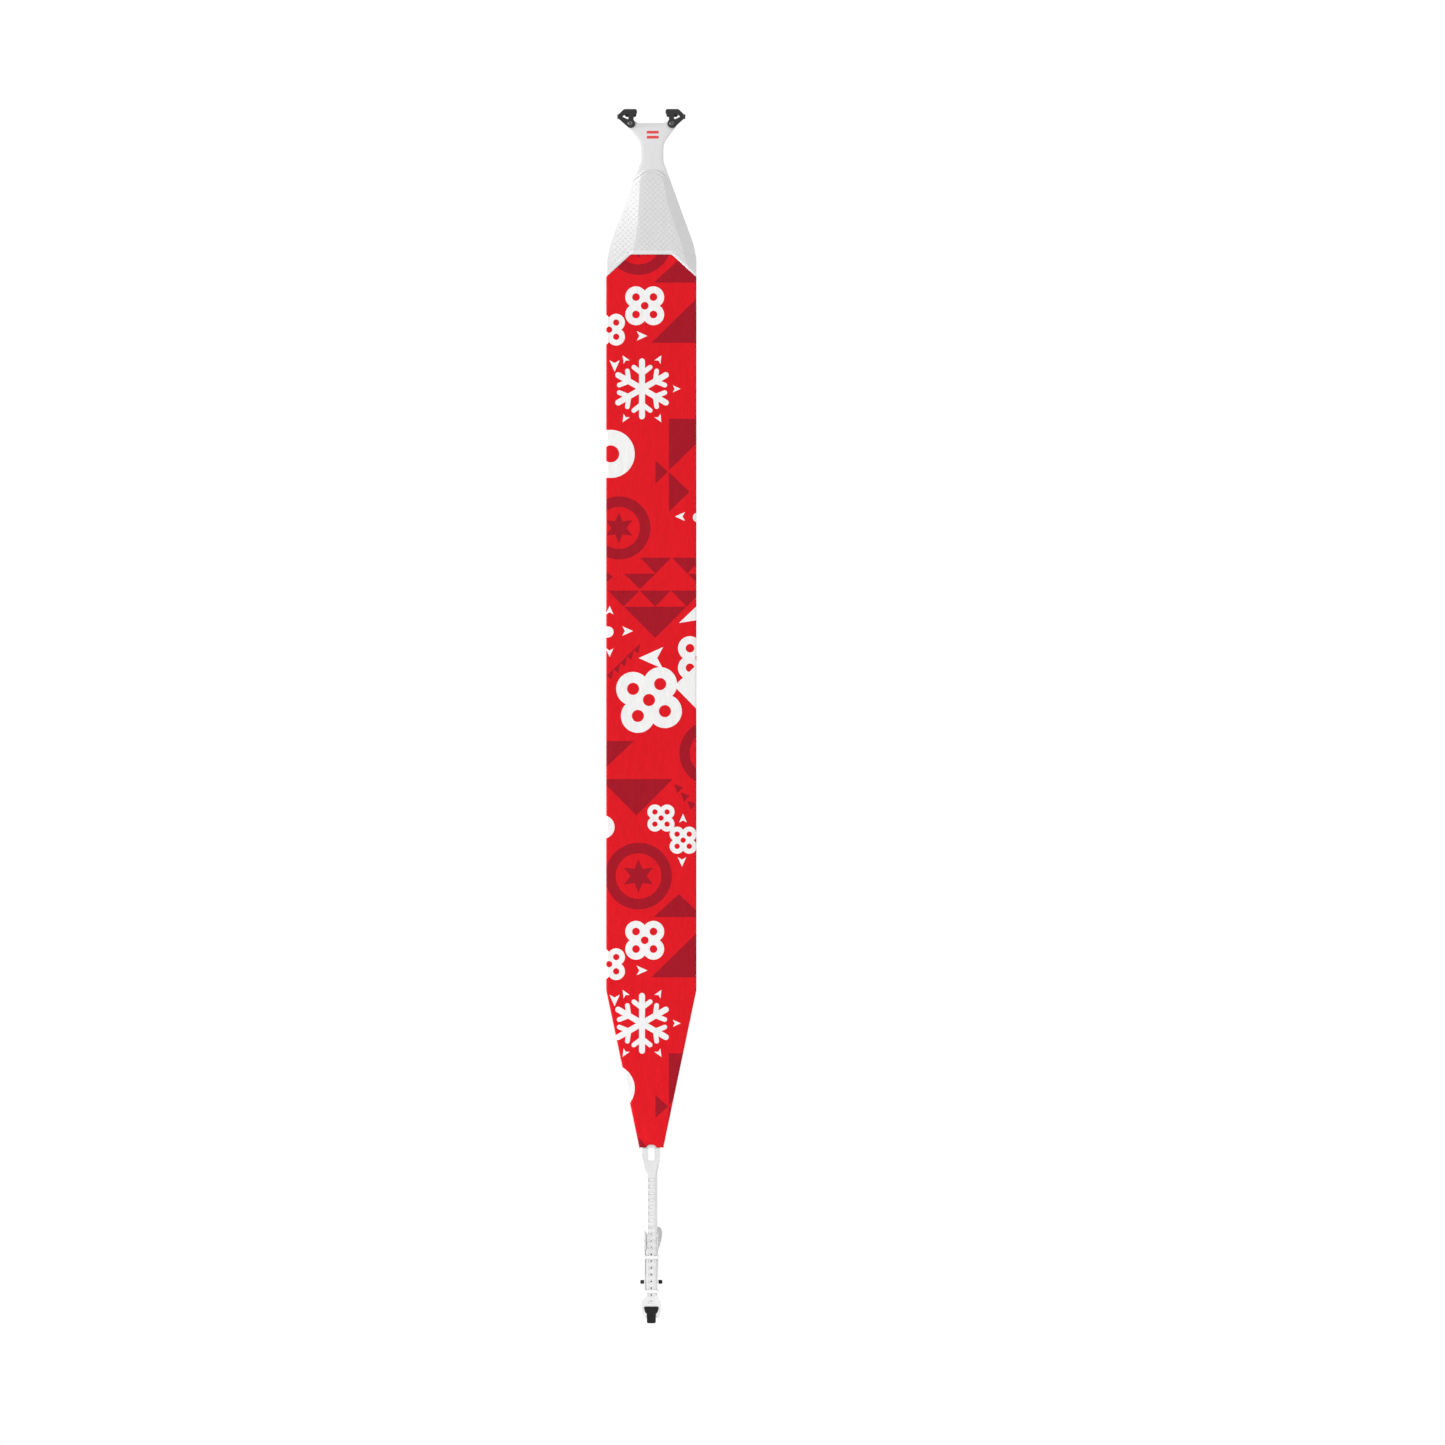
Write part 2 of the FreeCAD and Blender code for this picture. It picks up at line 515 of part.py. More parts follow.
def cam_spring():
    """The torsion spring that closes the cam, coiled round the axle beside the drum."""
    pitch = 2 * SPRING_WIRE + 0.1
    path = Part.makeHelix(pitch, SPRING_TURNS * pitch, SPRING_RADIUS)
    start = V(SPRING_RADIUS, 0, 0)
    section = Part.Wire(Part.makeCircle(SPRING_WIRE, start, V(0, 1, pitch / (2 * math.pi * SPRING_RADIUS))))
    coil = Part.Wire(path.Edges).makePipeShell([section], True, True)
    coil.rotate(V(0, 0, 0), V(0, 1, 0), 90)
    coil.translate(V(5.5, AXLE_Y, AXLE_Z))
    return coil


def cam_lever():
    """The cam: a toothed drum on the axle, with a handle that lies along the strap when it is closed."""
    drum = bar(DRUM_RADIUS, AXLE_Y, AXLE_Z, -DRUM_HALF, DRUM_HALF)
    teeth = []
    for i in range(TOOTH_COUNT):
        angle = math.radians(160 + 14 * i)
        corners = [(TOOTH_TIP, angle), (TOOTH_FOOT, angle - 0.16), (TOOTH_FOOT, angle + 0.16)]
        tooth = [(AXLE_Y + reach * math.cos(a), AXLE_Z + reach * math.sin(a)) for reach, a in corners]
        teeth.append(profile(tooth, 0.0, 4.4))
    handle = profile([(9.6, AXLE_Z + 1.0), (0.6, AXLE_Z - 2.0), (0.6, HANDLE_END), (6.4, HANDLE_END - 1.0),
                      (6.4, HANDLE_END + 2.0), (4.2, HANDLE_END + 5.0), (4.6, AXLE_Z - 10.0)],
                     [0.5, 0.5, 1.2, 0.9, 1.2, 6.0, 8.0], HANDLE_HALF)
    lever = drum.fuse([handle] + teeth).removeSplitter()
    grip = HANDLE_HALF + 1
    grooves = [bar(0.6, 4.3, HANDLE_END + rise, -grip, grip) for rise in (13.0, 10.5, 8.0)]
    bore = bar(AXLE_RADIUS + RIVET_CLEARANCE, AXLE_Y, AXLE_Z, -20.0, 20.0)
    pocket = bar(4.1, AXLE_Y, AXLE_Z, 4.7, DRUM_HALF + 1)
    return lever.cut([bore, pocket] + grooves)


# ---- the whole skin --------------------------------------------------------------------------------------
def build():
    """Every node, by name."""
    made = layers()
    made["tip_yoke"] = tip_yoke()
    made["neck_rivets"] = set_rivets(NECK_RIVETS, MOULDING[1])
    made["tail_strap"] = ladder_strap()
    made["tail_rivets"] = set_rivets(TAIL_RIVETS, FLANGE_FRONT - 0.5)
    made["tip_patch"] = tip_patch().cut(made["neck_rivets"])
    made["tail_patch"] = tail_patch().cut(made["tail_rivets"])
    made["nose_cover"] = nose_cover().cut([made["tip_yoke"], made["neck_rivets"]])
    made["tip_yoke"] = made["tip_yoke"].cut(made["neck_rivets"])
    for layer in ("film", "cloth"):
        made[layer + "_front"] = made[layer + "_front"].cut(made["neck_rivets"])
        made[layer + "_rear"] = made[layer + "_rear"].cut(made["tail_rivets"])
    made["plush_rear"] = made["plush_rear"].cut([made["tail_strap"], made["tail_rivets"]])
    made["tail_strap"] = made["tail_strap"].cut(made["tail_rivets"])
    made["pull_tab"] = pull_tab().cut(made["tail_strap"])
    pivot_pieces = {"hook": tip_hook(), "rivet": tip_rivet(), "spacer": ring(6.0, MOULDING[1], -4.0),
                    "burr": ring(5.0, MOULDING[0], -0.4)}
    for name, shape in pivot_pieces.items():
        made["tip_" + name + "_right"] = shape
        made["tip_" + name + "_left"] = mirrored(shape)
    made["tail_hook"] = tail_hook()
    made["hook_rivets"] = hook_rivets()
    made["clip_body"] = clip_body()
    made["guide_block"] = guide_block()
    made["cam_axle"] = cam_axle()
    made["axle_caps"] = axle_caps()
    made["cam_spring"] = cam_spring()
    made["cam_lever"] = cam_lever()
    return made


os.makedirs("parts", exist_ok=True)
for name, shape in build().items():
    shape.exportStep(os.path.join("parts", name + ".step"))
    state = "valid" if shape.isValid() else "INVALID"
    print(name, len(shape.Solids), "solid", round(shape.Volume, 1), "mm3", state)
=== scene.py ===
import math
import random

import bpy
import numpy as np
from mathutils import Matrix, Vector, noise
from mathutils.bvhtree import BVHTree
from mathutils.geometry import delaunay_2d_cdt


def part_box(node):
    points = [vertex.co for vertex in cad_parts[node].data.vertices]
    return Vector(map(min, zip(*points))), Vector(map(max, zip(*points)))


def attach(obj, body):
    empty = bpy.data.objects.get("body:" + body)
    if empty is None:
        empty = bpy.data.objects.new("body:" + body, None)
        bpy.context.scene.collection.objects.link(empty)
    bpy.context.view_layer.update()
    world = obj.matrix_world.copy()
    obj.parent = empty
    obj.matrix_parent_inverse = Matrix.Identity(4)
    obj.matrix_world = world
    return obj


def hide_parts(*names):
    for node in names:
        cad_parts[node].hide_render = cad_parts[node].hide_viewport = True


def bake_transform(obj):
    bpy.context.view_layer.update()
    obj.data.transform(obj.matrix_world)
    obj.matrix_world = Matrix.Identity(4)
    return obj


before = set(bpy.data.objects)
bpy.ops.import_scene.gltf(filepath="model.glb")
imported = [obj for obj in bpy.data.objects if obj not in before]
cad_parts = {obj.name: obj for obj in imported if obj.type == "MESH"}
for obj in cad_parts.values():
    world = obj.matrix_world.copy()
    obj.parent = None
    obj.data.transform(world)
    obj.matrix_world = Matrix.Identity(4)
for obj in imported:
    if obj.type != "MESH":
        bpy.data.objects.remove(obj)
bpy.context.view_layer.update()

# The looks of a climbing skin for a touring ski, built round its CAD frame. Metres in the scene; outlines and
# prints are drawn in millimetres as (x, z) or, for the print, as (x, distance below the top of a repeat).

MM = 0.001
random.seed(4)

# ---- sizes taken from the frame --------------------------------------------------------------------------


def limits(node):
    """A node's lowest and highest corner in millimetres, as two lists."""
    low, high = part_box(node)
    return [c / MM for c in low], [c / MM for c in high]


HALF = limits("cloth_rear")[1][0]
NOSE_TOP = limits("nose_cover")[1][2]
FULL_WIDTH_TOP = limits("nose_cover")[0][2] - 0.9
PLUSH_TOP = limits("plush_front")[1][2]
FOLD = (limits("plush_front")[0][2] + limits("plush_rear")[1][2]) / 2
TAIL_END = limits("cloth_rear")[0][2]
GLUE_TOP = limits("adhesive_front")[1][2]
GLUE_END = limits("adhesive_rear")[0][2]
NECK_ROOT = limits("tip_yoke")[0][2]
NECK_HALF = 17.4
NECK_TOP = -46.8
WAIST = -99.5               # where the yoke's flanks end under the nose cover
ROOT_HALF = 15.0
PIVOT = (30.0, -18.6)
LOBE_RADIUS = 7.2
BORE_RADIUS = 2.6
LABEL_HEIGHTS = (-31.2, -38.4)
LABEL_LENGTH, LABEL_MIDDLE = 17.4, 2.1
FLANK_TOP = -73.4
DOME_END = -99.0            # where the dome's sides meet the nose's flanks
DOME_RADII = [14.0, 3.0]
SHOULDER = (60.5, -192.0)
STRAIGHT_TOP = -213.0
PLUSH_TOP_HALF = 29.6
TAPER_TOP = -1269.8
TAIL_HALF = 17.3
DOME_FLAT = 9.5             # half of the nose's level top
CREASES = (                 # the nose's two creases, from top to bottom
    [(-15.6, -86.0), (-16.2, -101.0), (-18.0, -132.0), (-19.5, -165.0), (-24.0, -192.0), (-28.0, -213.0),
     (-31.0, -239.8)],
    [(15.6, -86.0), (17.5, -101.0), (23.5, -132.0), (34.0, -165.0), (44.0, -192.0), (49.0, -213.0),
     (57.0, -239.8)],
)
DASH_PITCH, ROW_PITCH = 7.8, 3.9
DASH_REACH = 1.65           # half the length of a dash's straight part
DASH_FOOT, DASH_TOP = 0.85, 0.35        # half of its width at its foot and on its top
DASH_RISE = 0.24
RIM_BAND = 5.2              # height of the band along the nose's lower edge, painted paler as a highlight
LEDGE_SLOPE = 0.904         # fall of that edge's slanting sides for each millimetre outwards
LEDGE_COS = 0.74            # and the cosine of their slant
DOME_SLOPE = 0.756          # fall of the dome's sides for each millimetre outwards
DOME_COS = 0.8

# each layer's back and front face along Y
GLUE = (0.0, -0.4)
FILM = (-0.4, -0.6)
CLOTH = (-0.6, -1.2)
PLUSH = (-1.2, -3.6)
MOULDING = (-1.2, -3.4)
LABEL = (-3.38, -3.44)
BEND = 12.0                 # the fold is spread over this much of the strip on each side of its line
FOLD_STEP = 1.0             # how closely the meshes are divided there
ROW_SHARE = 0.87            # a lattice's row pitch as a share of its point pitch


# ---- drawing in the plane of the strip -------------------------------------------------------------------
def rounded(points, radii):
    """A closed outline through the points, with its corners rounded to arcs."""
    outline = []
    for i, (corner, radius) in enumerate(zip(points, radii)):
        here = Vector(corner)
        back = (Vector(points[i - 1]) - here).normalized()
        ahead = (Vector(points[(i + 1) % len(points)]) - here).normalized()
        half = back.angle(ahead) / 2
        if radius <= 0 or half > math.pi / 2 - 1e-3:
            outline.append(tuple(here))
            continue
        centre = here + (back + ahead).normalized() * (radius / math.sin(half))
        start = here + back * (radius / math.tan(half)) - centre
        end = here + ahead * (radius / math.tan(half)) - centre
        turn = start.angle_signed(end)
        steps = max(2, math.ceil(abs(turn) / math.radians(9)))
        for k in range(steps + 1):
            angle = -turn * k / steps
            outline.append((centre.x + start.x * math.cos(angle) - start.y * math.sin(angle),
                            centre.y + start.x * math.sin(angle) + start.y * math.cos(angle)))
    return outline


def both_sides(half, radii):
    """A symmetric outline from its right half, from top to bottom, with its corners rounded."""
    points = half + [(-x, z) for x, z in reversed(half)]
    return rounded(points, radii + radii[::-1])


def area_of(loop):
    """The signed area of an outline, positive if it runs anticlockwise."""
    return sum(a[0] * b[1] - b[0] * a[1] for a, b in zip(loop, loop[1:] + loop[:1])) / 2


def drawn_in(loop, distance):
    """The outline moved inwards by a distance."""
    sign = 1 if area_of(loop) > 0 else -1
    moved = []
    for i, point in enumerate(loop):
        here = Vector(point)
        first = (here - Vector(loop[i - 1])).normalized()
        second = (Vector(loop[(i + 1) % len(loop)]) - here).normalized()
        inward = Vector((-first.y - second.y, first.x + second.x)).normalized() * sign
        spread = max(0.5, abs(inward.dot(Vector((-first.y, first.x)))))
        moved.append(tuple(here + inward * distance / spread))
    return moved


def near_fold(z):
    """Whether a height lies where the strip bends, or just beyond."""
    return abs(z - FOLD) < BEND + 3


def split(loop, longest):
    """The outline with its long edges divided, and divided closely where the strip folds."""
    for step in (longest, FOLD_STEP):
        points = []
        for a, b in zip(loop, loop[1:] + loop[:1]):
            divide = step == longest or near_fold((a[1] + b[1]) / 2)
            count = max(1, math.ceil(math.dist(a, b) / step)) if divide else 1
            across, up = b[0] - a[0], b[1] - a[1]
            points += [(a[0] + across * k / count, a[1] + up * k / count) for k in range(count)]
        loop = points
    return loop


def distance_to(loop, points):
    """How far each point is from an outline, and whether it lies inside it."""
    points = np.asarray(points, float)
    start = np.asarray(loop, float)
    end = np.roll(start, -1, axis=0)
    near = np.full(len(points), np.inf)
    inside = np.zeros(len(points), bool)
    for a, b in zip(start, end):
        along = b - a
        share = np.clip((points - a) @ along / max(along @ along, 1e-12), 0, 1)
        near = np.minimum(near, np.linalg.norm(points - a - share[:, None] * along, axis=1))
        if a[1] != b[1]:
            spans = (points[:, 1] >= min(a[1], b[1])) & (points[:, 1] < max(a[1], b[1]))
            inside ^= spans & (points[:, 0] < a[0] + (points[:, 1] - a[1]) * along[0] / along[1])
    return near, inside


def lattice(loop, pitch, margin):
    """Points on a slightly uneven triangular lattice inside an outline, with closer rows at the fold."""
    low, high = np.min(loop, axis=0), np.max(loop, axis=0)
    rows, z = [], low[1] + margin
    while z < high[1] - margin:
        rows.append(z)
        z += FOLD_STEP if near_fold(z) else pitch * ROW_SHARE
    points = []
    for i, z in enumerate(rows):
        x = low[0] + (i % 2) * pitch / 2
        while x < high[0]:
            points.append((x + random.uniform(-0.12, 0.12) * pitch, z))
            x += pitch
    near, inside = distance_to(loop, points)
    return [p for p, d, ok in zip(points, near, inside) if ok and d > margin]


# ---- meshes ----------------------------------------------------------------------------------------------
def link(name, mesh):
    piece = bpy.data.objects.new(name, mesh)
    bpy.context.scene.collection.objects.link(piece)
    return piece


def painted(name, verts, faces, slots, materials):
    """A mesh in metres with a material for each face, which stores its shape at rest for the patterns."""
    mesh = bpy.data.meshes.new(name)
    mesh.from_pydata(verts, [], faces)
    for material in materials:
        mesh.materials.append(material)
    mesh.polygons.foreach_set("material_index", slots)
    rest = mesh.attributes.new("rest", "FLOAT_VECTOR", "POINT")
    rest.data.foreach_set("vector", np.array(verts, np.float32).ravel())
    return mesh


def slab(name, outline, layer, front, materials, rings=(), holes=(), areas=(), lines=(), points=(),
         back=None):
    """A closed piece of sheet whose outline lies in the plane of the strip.

    front and back move the faces out, as functions of arrays x, z and d, the distance to the outline. rings
    are insets that get edges, and lines are paths that get edges. areas are (slot, outline) pairs, where slot
    counts in materials, and a later one covers an earlier one.
    """
    coords, edges, faces = [], [], []

    def add(loop):
        loop = loop if area_of(loop) > 0 else loop[::-1]
        faces.append(list(range(len(coords), len(coords) + len(loop))))
        coords.extend(loop)

    add(outline)
    for loop in holes:
        add(loop)
    for _, loop in areas:
        add(loop)
    first_ring = len(faces)
    for distance in rings:
        add(drawn_in(outline, distance))
    for path in lines:
        edges += [(len(coords) + k, len(coords) + k + 1) for k in range(len(path) - 1)]
        coords.extend(path)
    coords.extend(points)
    made = delaunay_2d_cdt([Vector(c) for c in coords], edges, faces, 1, 1e-4)
    flat, corners, source_faces = made[0], made[2], made[5]

    hole_ids = set(range(1, 1 + len(holes)))
    kept, paint = [], []
    for triangle, sources in zip(corners, source_faces):
        if 0 not in sources or hole_ids & set(sources):
            continue
        covers = [s - 1 - len(holes) for s in sources if len(holes) < s < first_ring]
        kept.append(list(triangle))
        paint.append(areas[max(covers)][0] if covers else 0)

    x = np.array([p[0] for p in flat])
    z = np.array([p[1] for p in flat])
    d = distance_to(outline, np.stack([x, z], axis=1))[0]
    y_front = layer[1] - front(x, z, d)
    y_back = layer[0] + (back(x, z, d) if back else 0 * x)

    used = sorted({v for t in kept for v in t})
    index = {v: i for i, v in enumerate(used)}
    count = len(used)
    verts = [(x[v] * MM, y_front[v] * MM, z[v] * MM) for v in used]
    verts += [(x[v] * MM, y_back[v] * MM, z[v] * MM) for v in used]
    polygons, slots, edge_of = [], [], {}
    for triangle, ink in zip(kept, paint):
        a, b, c = [index[v] for v in triangle]
        polygons += [(a, b, c), (c + count, b + count, a + count)]
        slots += [ink, ink]
        for pair in ((a, b), (b, c), (c, a)):
            edge_of[pair] = ink
    for (a, b), ink in edge_of.items():
        if (b, a) not in edge_of:
            polygons.append((b, a, a + count, b + count))
            slots.append(ink)
    mesh = painted(name, verts, polygons, slots, materials)
    mesh.shade_smooth()
    mesh.set_sharp_from_angle(angle=math.radians(42))
    mesh.update()
    return link(name, mesh)


def plane(x, z, d):
    """A face that stays flat."""
    return 0 * x


def rolled(radius, drop):
    """A front face whose rim falls by drop over the last radius of its width."""
    return lambda x, z, d: -drop * np.clip(1 - d / radius, 0, 1) ** 2


# ---- materials -------------------------------------------------------------------------------------------
class Recipe:
    """A material built node by node on one Principled shader."""

    def __init__(self, name, coordinates="Object"):
        self.material = bpy.data.materials.new(name)
        self.material.use_nodes = True      # it starts with a Principled shader on its output
        self.tree = self.material.node_tree
        self.shader = self.tree.nodes["Principled BSDF"]
        if coordinates == "rest":
            self.place = self.add("ShaderNodeAttribute", attribute_name="rest").outputs["Vector"]
        else:
            self.place = self.add("ShaderNodeTexCoord").outputs["Object"]

    def add(self, kind, inputs=None, **settings):
        made = self.tree.nodes.new(kind)
        for key, value in settings.items():
            setattr(made, key, value)
        for key, value in (inputs or {}).items():
            self.set(made.inputs[key], value)
        return made

    def set(self, socket, value):
        if isinstance(value, bpy.types.NodeSocket):
            self.tree.links.new(value, socket)
        else:
            socket.default_value = value

    def surface(self, **inputs):
        for key, value in inputs.items():
            self.set(self.shader.inputs[key.replace("_", " ")], value)

    def stretched(self, scale):
        """The place, multiplied by a scale for each axis, in cycles per metre."""
        made = self.add("ShaderNodeVectorMath", operation="MULTIPLY")
        self.set(made.inputs[0], self.place)
        made.inputs[1].default_value = scale
        return made.outputs[0]

    def noise(self, scale, detail=2.0, roughness=0.5):
        """A noise between 0 and 1 with so many features per metre along X, Y and Z."""
        where = self.stretched(scale if isinstance(scale, tuple) else (scale, scale, scale))
        made = self.add("ShaderNodeTexNoise", {"Vector": where, "Scale": 1.0, "Detail": detail,
                                               "Roughness": roughness})
        return made.outputs["Fac"]

    def waves(self, direction, scale, distortion=0.0):
        """Parallel bands across one axis."""
        made = self.add("ShaderNodeTexWave", {"Vector": self.place, "Scale": scale, "Distortion": distortion},
                        bands_direction=direction)
        return made.outputs["Fac"]

    def spread(self, value, low, high, start=0.3, end=0.7):
        """A value mapped from start..end to low..high."""
        made = self.add("ShaderNodeMapRange", {"Value": value, "From Min": start, "From Max": end,
                                               "To Min": low, "To Max": high})
        return made.outputs["Result"]

    def maths(self, operation, a, b=0.0):
        """A sum, a product or the like of two values."""
        made = self.add("ShaderNodeMath", operation=operation)
        self.set(made.inputs[0], a)
        self.set(made.inputs[1], b)
        return made.outputs[0]

    def blend(self, share, first, second):
        """A colour between two others."""
        made = self.add("ShaderNodeMix", data_type="RGBA")
        self.set(made.inputs[0], share)
        self.set(made.inputs[6], first)
        self.set(made.inputs[7], second)
        return made.outputs[2]

    def bump(self, height, distance, strength=1.0, under=None):
        """A normal from a height, so many millimetres deep, over another normal if there is one."""
        made = self.add("ShaderNodeBump", {"Height": height, "Distance": distance * MM, "Strength": strength})
        if under is not None:
            self.set(made.inputs["Normal"], under)
        return made.outputs["Normal"]


def shade(colour, factor):
    """A colour made darker or paler."""
    return tuple(min(1.0, c * factor) for c in colour[:3]) + (1.0,)


def plush_material(name, colour, fibre):
    """Short dense pile that lies towards the tail: fine streaks, brushed patches and paler fibre tips."""
    m = Recipe(name, "rest")
    strands = m.noise((1500.0, 1500.0, 110.0), 3.0, 0.6)
    streaks = m.noise((260.0, 260.0, 16.0), 2.0)
    patches = m.noise((16.0, 16.0, 7.0), 2.0)
    tips = m.noise((2600.0, 2600.0, 700.0), 1.0)
    base = m.blend(m.spread(strands, 0.0, 1.0), shade(colour, 0.86), shade(colour, 1.08))
    base = m.blend(m.spread(streaks, 0.0, 0.30), base, shade(colour, 0.90))
    base = m.blend(m.spread(patches, 0.0, 0.22), base, shade(colour, 1.12))
    base = m.blend(m.spread(tips, 0.0, 0.25, 0.58, 0.75), base, fibre)
    m.surface(Base_Color=base, Roughness=m.spread(streaks, 0.78, 0.95))
    m.surface(Specular_IOR_Level=0.05, Sheen_Weight=0.02, Sheen_Roughness=0.45)
    lay = m.bump(strands, 0.4, 0.45)
    m.surface(Normal=m.bump(patches, 1.2, 0.25, lay))
    return m.material


def moulded_material(name, colour, roughness=0.45, grain=0.05, stain=0.95):
    """A moulded plastic: faint flow marks, a fine grain, a little handling dirt and painted shade in its
    corners and recesses.
    """
    m = Recipe(name)
    flow = m.noise((30.0, 30.0, 9.0), 3.0)
    specks = m.noise(1900.0, 2.0)
    base = m.blend(m.spread(flow, 0.0, 1.0), shade(colour, stain), colour)
    # painted shade: an ambient occlusion node darkens the colour in corners, recesses and between parts
    corners = m.add("ShaderNodeAmbientOcclusion", {"Distance": 2.0 * MM}, samples=8)
    base = m.blend(m.spread(corners.outputs["AO"], 0.0, 1.0, 0.35, 0.95), shade(colour, 0.72), base)
    m.surface(Base_Color=base, Roughness=m.spread(m.noise(420.0, 3.0), roughness - 0.07, roughness + 0.09))
    m.surface(Normal=m.bump(specks, grain, 0.8), Specular_IOR_Level=0.45)
    return m.material


def metal_material(name, colour, roughness, along="X"):
    """Brushed or turned metal, with streaks along one axis."""
    m = Recipe(name)
    scale = {"X": (60.0, 2600.0, 2600.0), "Z": (2600.0, 2600.0, 60.0)}[along]
    streaks = m.noise(scale, 3.0, 0.65)
    dull = m.noise(120.0, 3.0)
    base = m.blend(m.spread(streaks, 0.0, 1.0), shade(colour, 0.9), shade(colour, 1.06))
    m.surface(Base_Color=base, Metallic=1.0)
    m.surface(Roughness=m.spread(dull, roughness - 0.06, roughness + 0.08))
    m.surface(Normal=m.bump(streaks, 0.06, 0.6))
    return m.material


def powder_coat_material():
    """Black powder coat with an orange-peel skin, painted a paler grey along its edges, partly as rubbed wear
    and partly as a painted highlight.
    """
    m = Recipe("black_powder_coat")
    edge = m.add("ShaderNodeBevel", {"Radius": 0.5 * MM}, samples=6)
    plain = m.add("ShaderNodeNewGeometry").outputs["Normal"]
    match = m.add("ShaderNodeVectorMath", operation="DOT_PRODUCT")
    m.set(match.inputs[0], edge.outputs["Normal"])
    m.set(match.inputs[1], plain)
    # painted highlight and wear: the colour turns a paler grey where the surface bends round an edge
    edge_highlight_and_wear = m.spread(match.outputs["Value"], 1.0, 0.0, 0.80, 0.985)
    patchy_edge_highlight_and_wear = m.maths("MULTIPLY", edge_highlight_and_wear, m.spread(m.noise(330.0, 3.0), 0.1, 1.0))
    m.surface(Base_Color=m.blend(patchy_edge_highlight_and_wear, (0.019, 0.019, 0.021, 1.0), (0.13, 0.13, 0.135, 1.0)))
    m.surface(Roughness=m.spread(m.noise(260.0, 2.0), 0.42, 0.58), Specular_IOR_Level=0.38)
    m.surface(Normal=m.bump(m.noise(900.0, 1.0), 0.06, 0.7))
    return m.material


def rubber_material():
    """Soft black rubber with a matt, dusty skin."""
    m = Recipe("black_rubber")
    dust = m.noise((90.0, 90.0, 60.0), 4.0, 0.6)
    clean, dusty = (0.007, 0.007, 0.008, 1.0), (0.021, 0.021, 0.021, 1.0)
    m.surface(Base_Color=m.blend(m.spread(dust, 0.0, 0.5), clean, dusty))
    m.surface(Roughness=m.spread(dust, 0.62, 0.8), Specular_IOR_Level=0.22)
    m.surface(Normal=m.bump(m.noise(1500.0, 2.0), 0.05, 0.8))
    return m.material


def woven_material(name, colour, threads, depth, coordinates="rest", coat=0.0):
    """A tight plain weave with so many threads a metre."""
    m = Recipe(name, coordinates)
    warp = m.waves("X", threads / 20 * math.pi, 0.4)
    weft = m.waves("Z", threads / 20 * math.pi, 0.4)
    weave = m.maths("MAXIMUM", warp, weft)
    slubs = m.noise((400.0, 400.0, 30.0), 3.0)
    base = m.blend(m.spread(weave, 0.0, 1.0, 0.2, 0.9), shade(colour, 0.7), colour)
    base = m.blend(m.spread(slubs, 0.0, 0.35), base, shade(colour, 1.25))
    m.surface(Base_Color=base, Roughness=m.spread(slubs, 0.65, 0.85), Coat_Weight=coat, Coat_Roughness=0.35)
    m.surface(Normal=m.bump(weave, depth, 0.8))
    return m.material


def adhesive_material():
    """The tacky coat: dark and glossy, with roller marks, stray pile and dull handled patches."""
    m = Recipe("adhesive_coat", "rest")
    marks = m.noise((18.0, 18.0, 240.0), 3.0, 0.6)
    handled = m.noise((22.0, 22.0, 12.0), 3.0)
    lint = m.noise((900.0, 900.0, 160.0), 2.0, 0.7)
    base = m.blend(m.spread(marks, 0.0, 1.0), (0.040, 0.041, 0.046, 1.0), (0.062, 0.063, 0.068, 1.0))
    base = m.blend(m.spread(lint, 0.0, 0.35, 0.66, 0.76), base, (0.30, 0.12, 0.12, 1.0))
    m.surface(Base_Color=base, Roughness=m.spread(handled, 0.26, 0.46))
    m.surface(Coat_Weight=0.25, Coat_Roughness=0.2, Specular_IOR_Level=0.5)
    ripples = m.bump(marks, 0.12, 0.7)
    m.surface(Normal=m.bump(m.noise(700.0, 2.0), 0.05, 0.6, ripples))
    return m.material


def film_material():
    """The waterproof film: satin and faintly creased."""
    m = Recipe("satin_film", "rest")
    creases = m.noise((60.0, 60.0, 14.0), 3.0)
    low, high = (0.62, 0.64, 0.67, 1.0), (0.75, 0.76, 0.79, 1.0)
    m.surface(Base_Color=m.blend(m.spread(creases, 0.0, 1.0), low, high))
    m.surface(Roughness=m.spread(creases, 0.3, 0.45), Normal=m.bump(creases, 0.15, 0.6))
    return m.material


def laminate_material(name, colour):
    """The nose cover's skin: a satin film over a pebbled emboss."""
    m = Recipe(name)
    pebbles = m.add("ShaderNodeTexVoronoi", {"Vector": m.place, "Scale": 1150.0}).outputs["Distance"]
    scuffs = m.noise((70.0, 70.0, 26.0), 4.0, 0.6)
    base = m.blend(m.spread(scuffs, 0.0, 1.0), shade(colour, 0.95), colour)
    base = m.blend(m.spread(pebbles, 0.0, 0.25, 0.0, 0.6), base, shade(colour, 0.86))
    m.surface(Base_Color=base, Roughness=m.spread(scuffs, 0.40, 0.56), Specular_IOR_Level=0.42)
    m.surface(Normal=m.bump(pebbles, 0.05, 0.6))
    return m.material


def ink_material(name, colour):
    """Printed ink with a slightly uneven gloss."""
    m = Recipe(name)
    m.surface(Base_Color=m.blend(m.spread(m.noise(1400.0), 0.0, 1.0), shade(colour, 0.85), colour))
    m.surface(Roughness=m.spread(m.noise(500.0), 0.3, 0.5), Normal=m.bump(m.noise(1800.0), 0.02, 0.6))
    return m.material


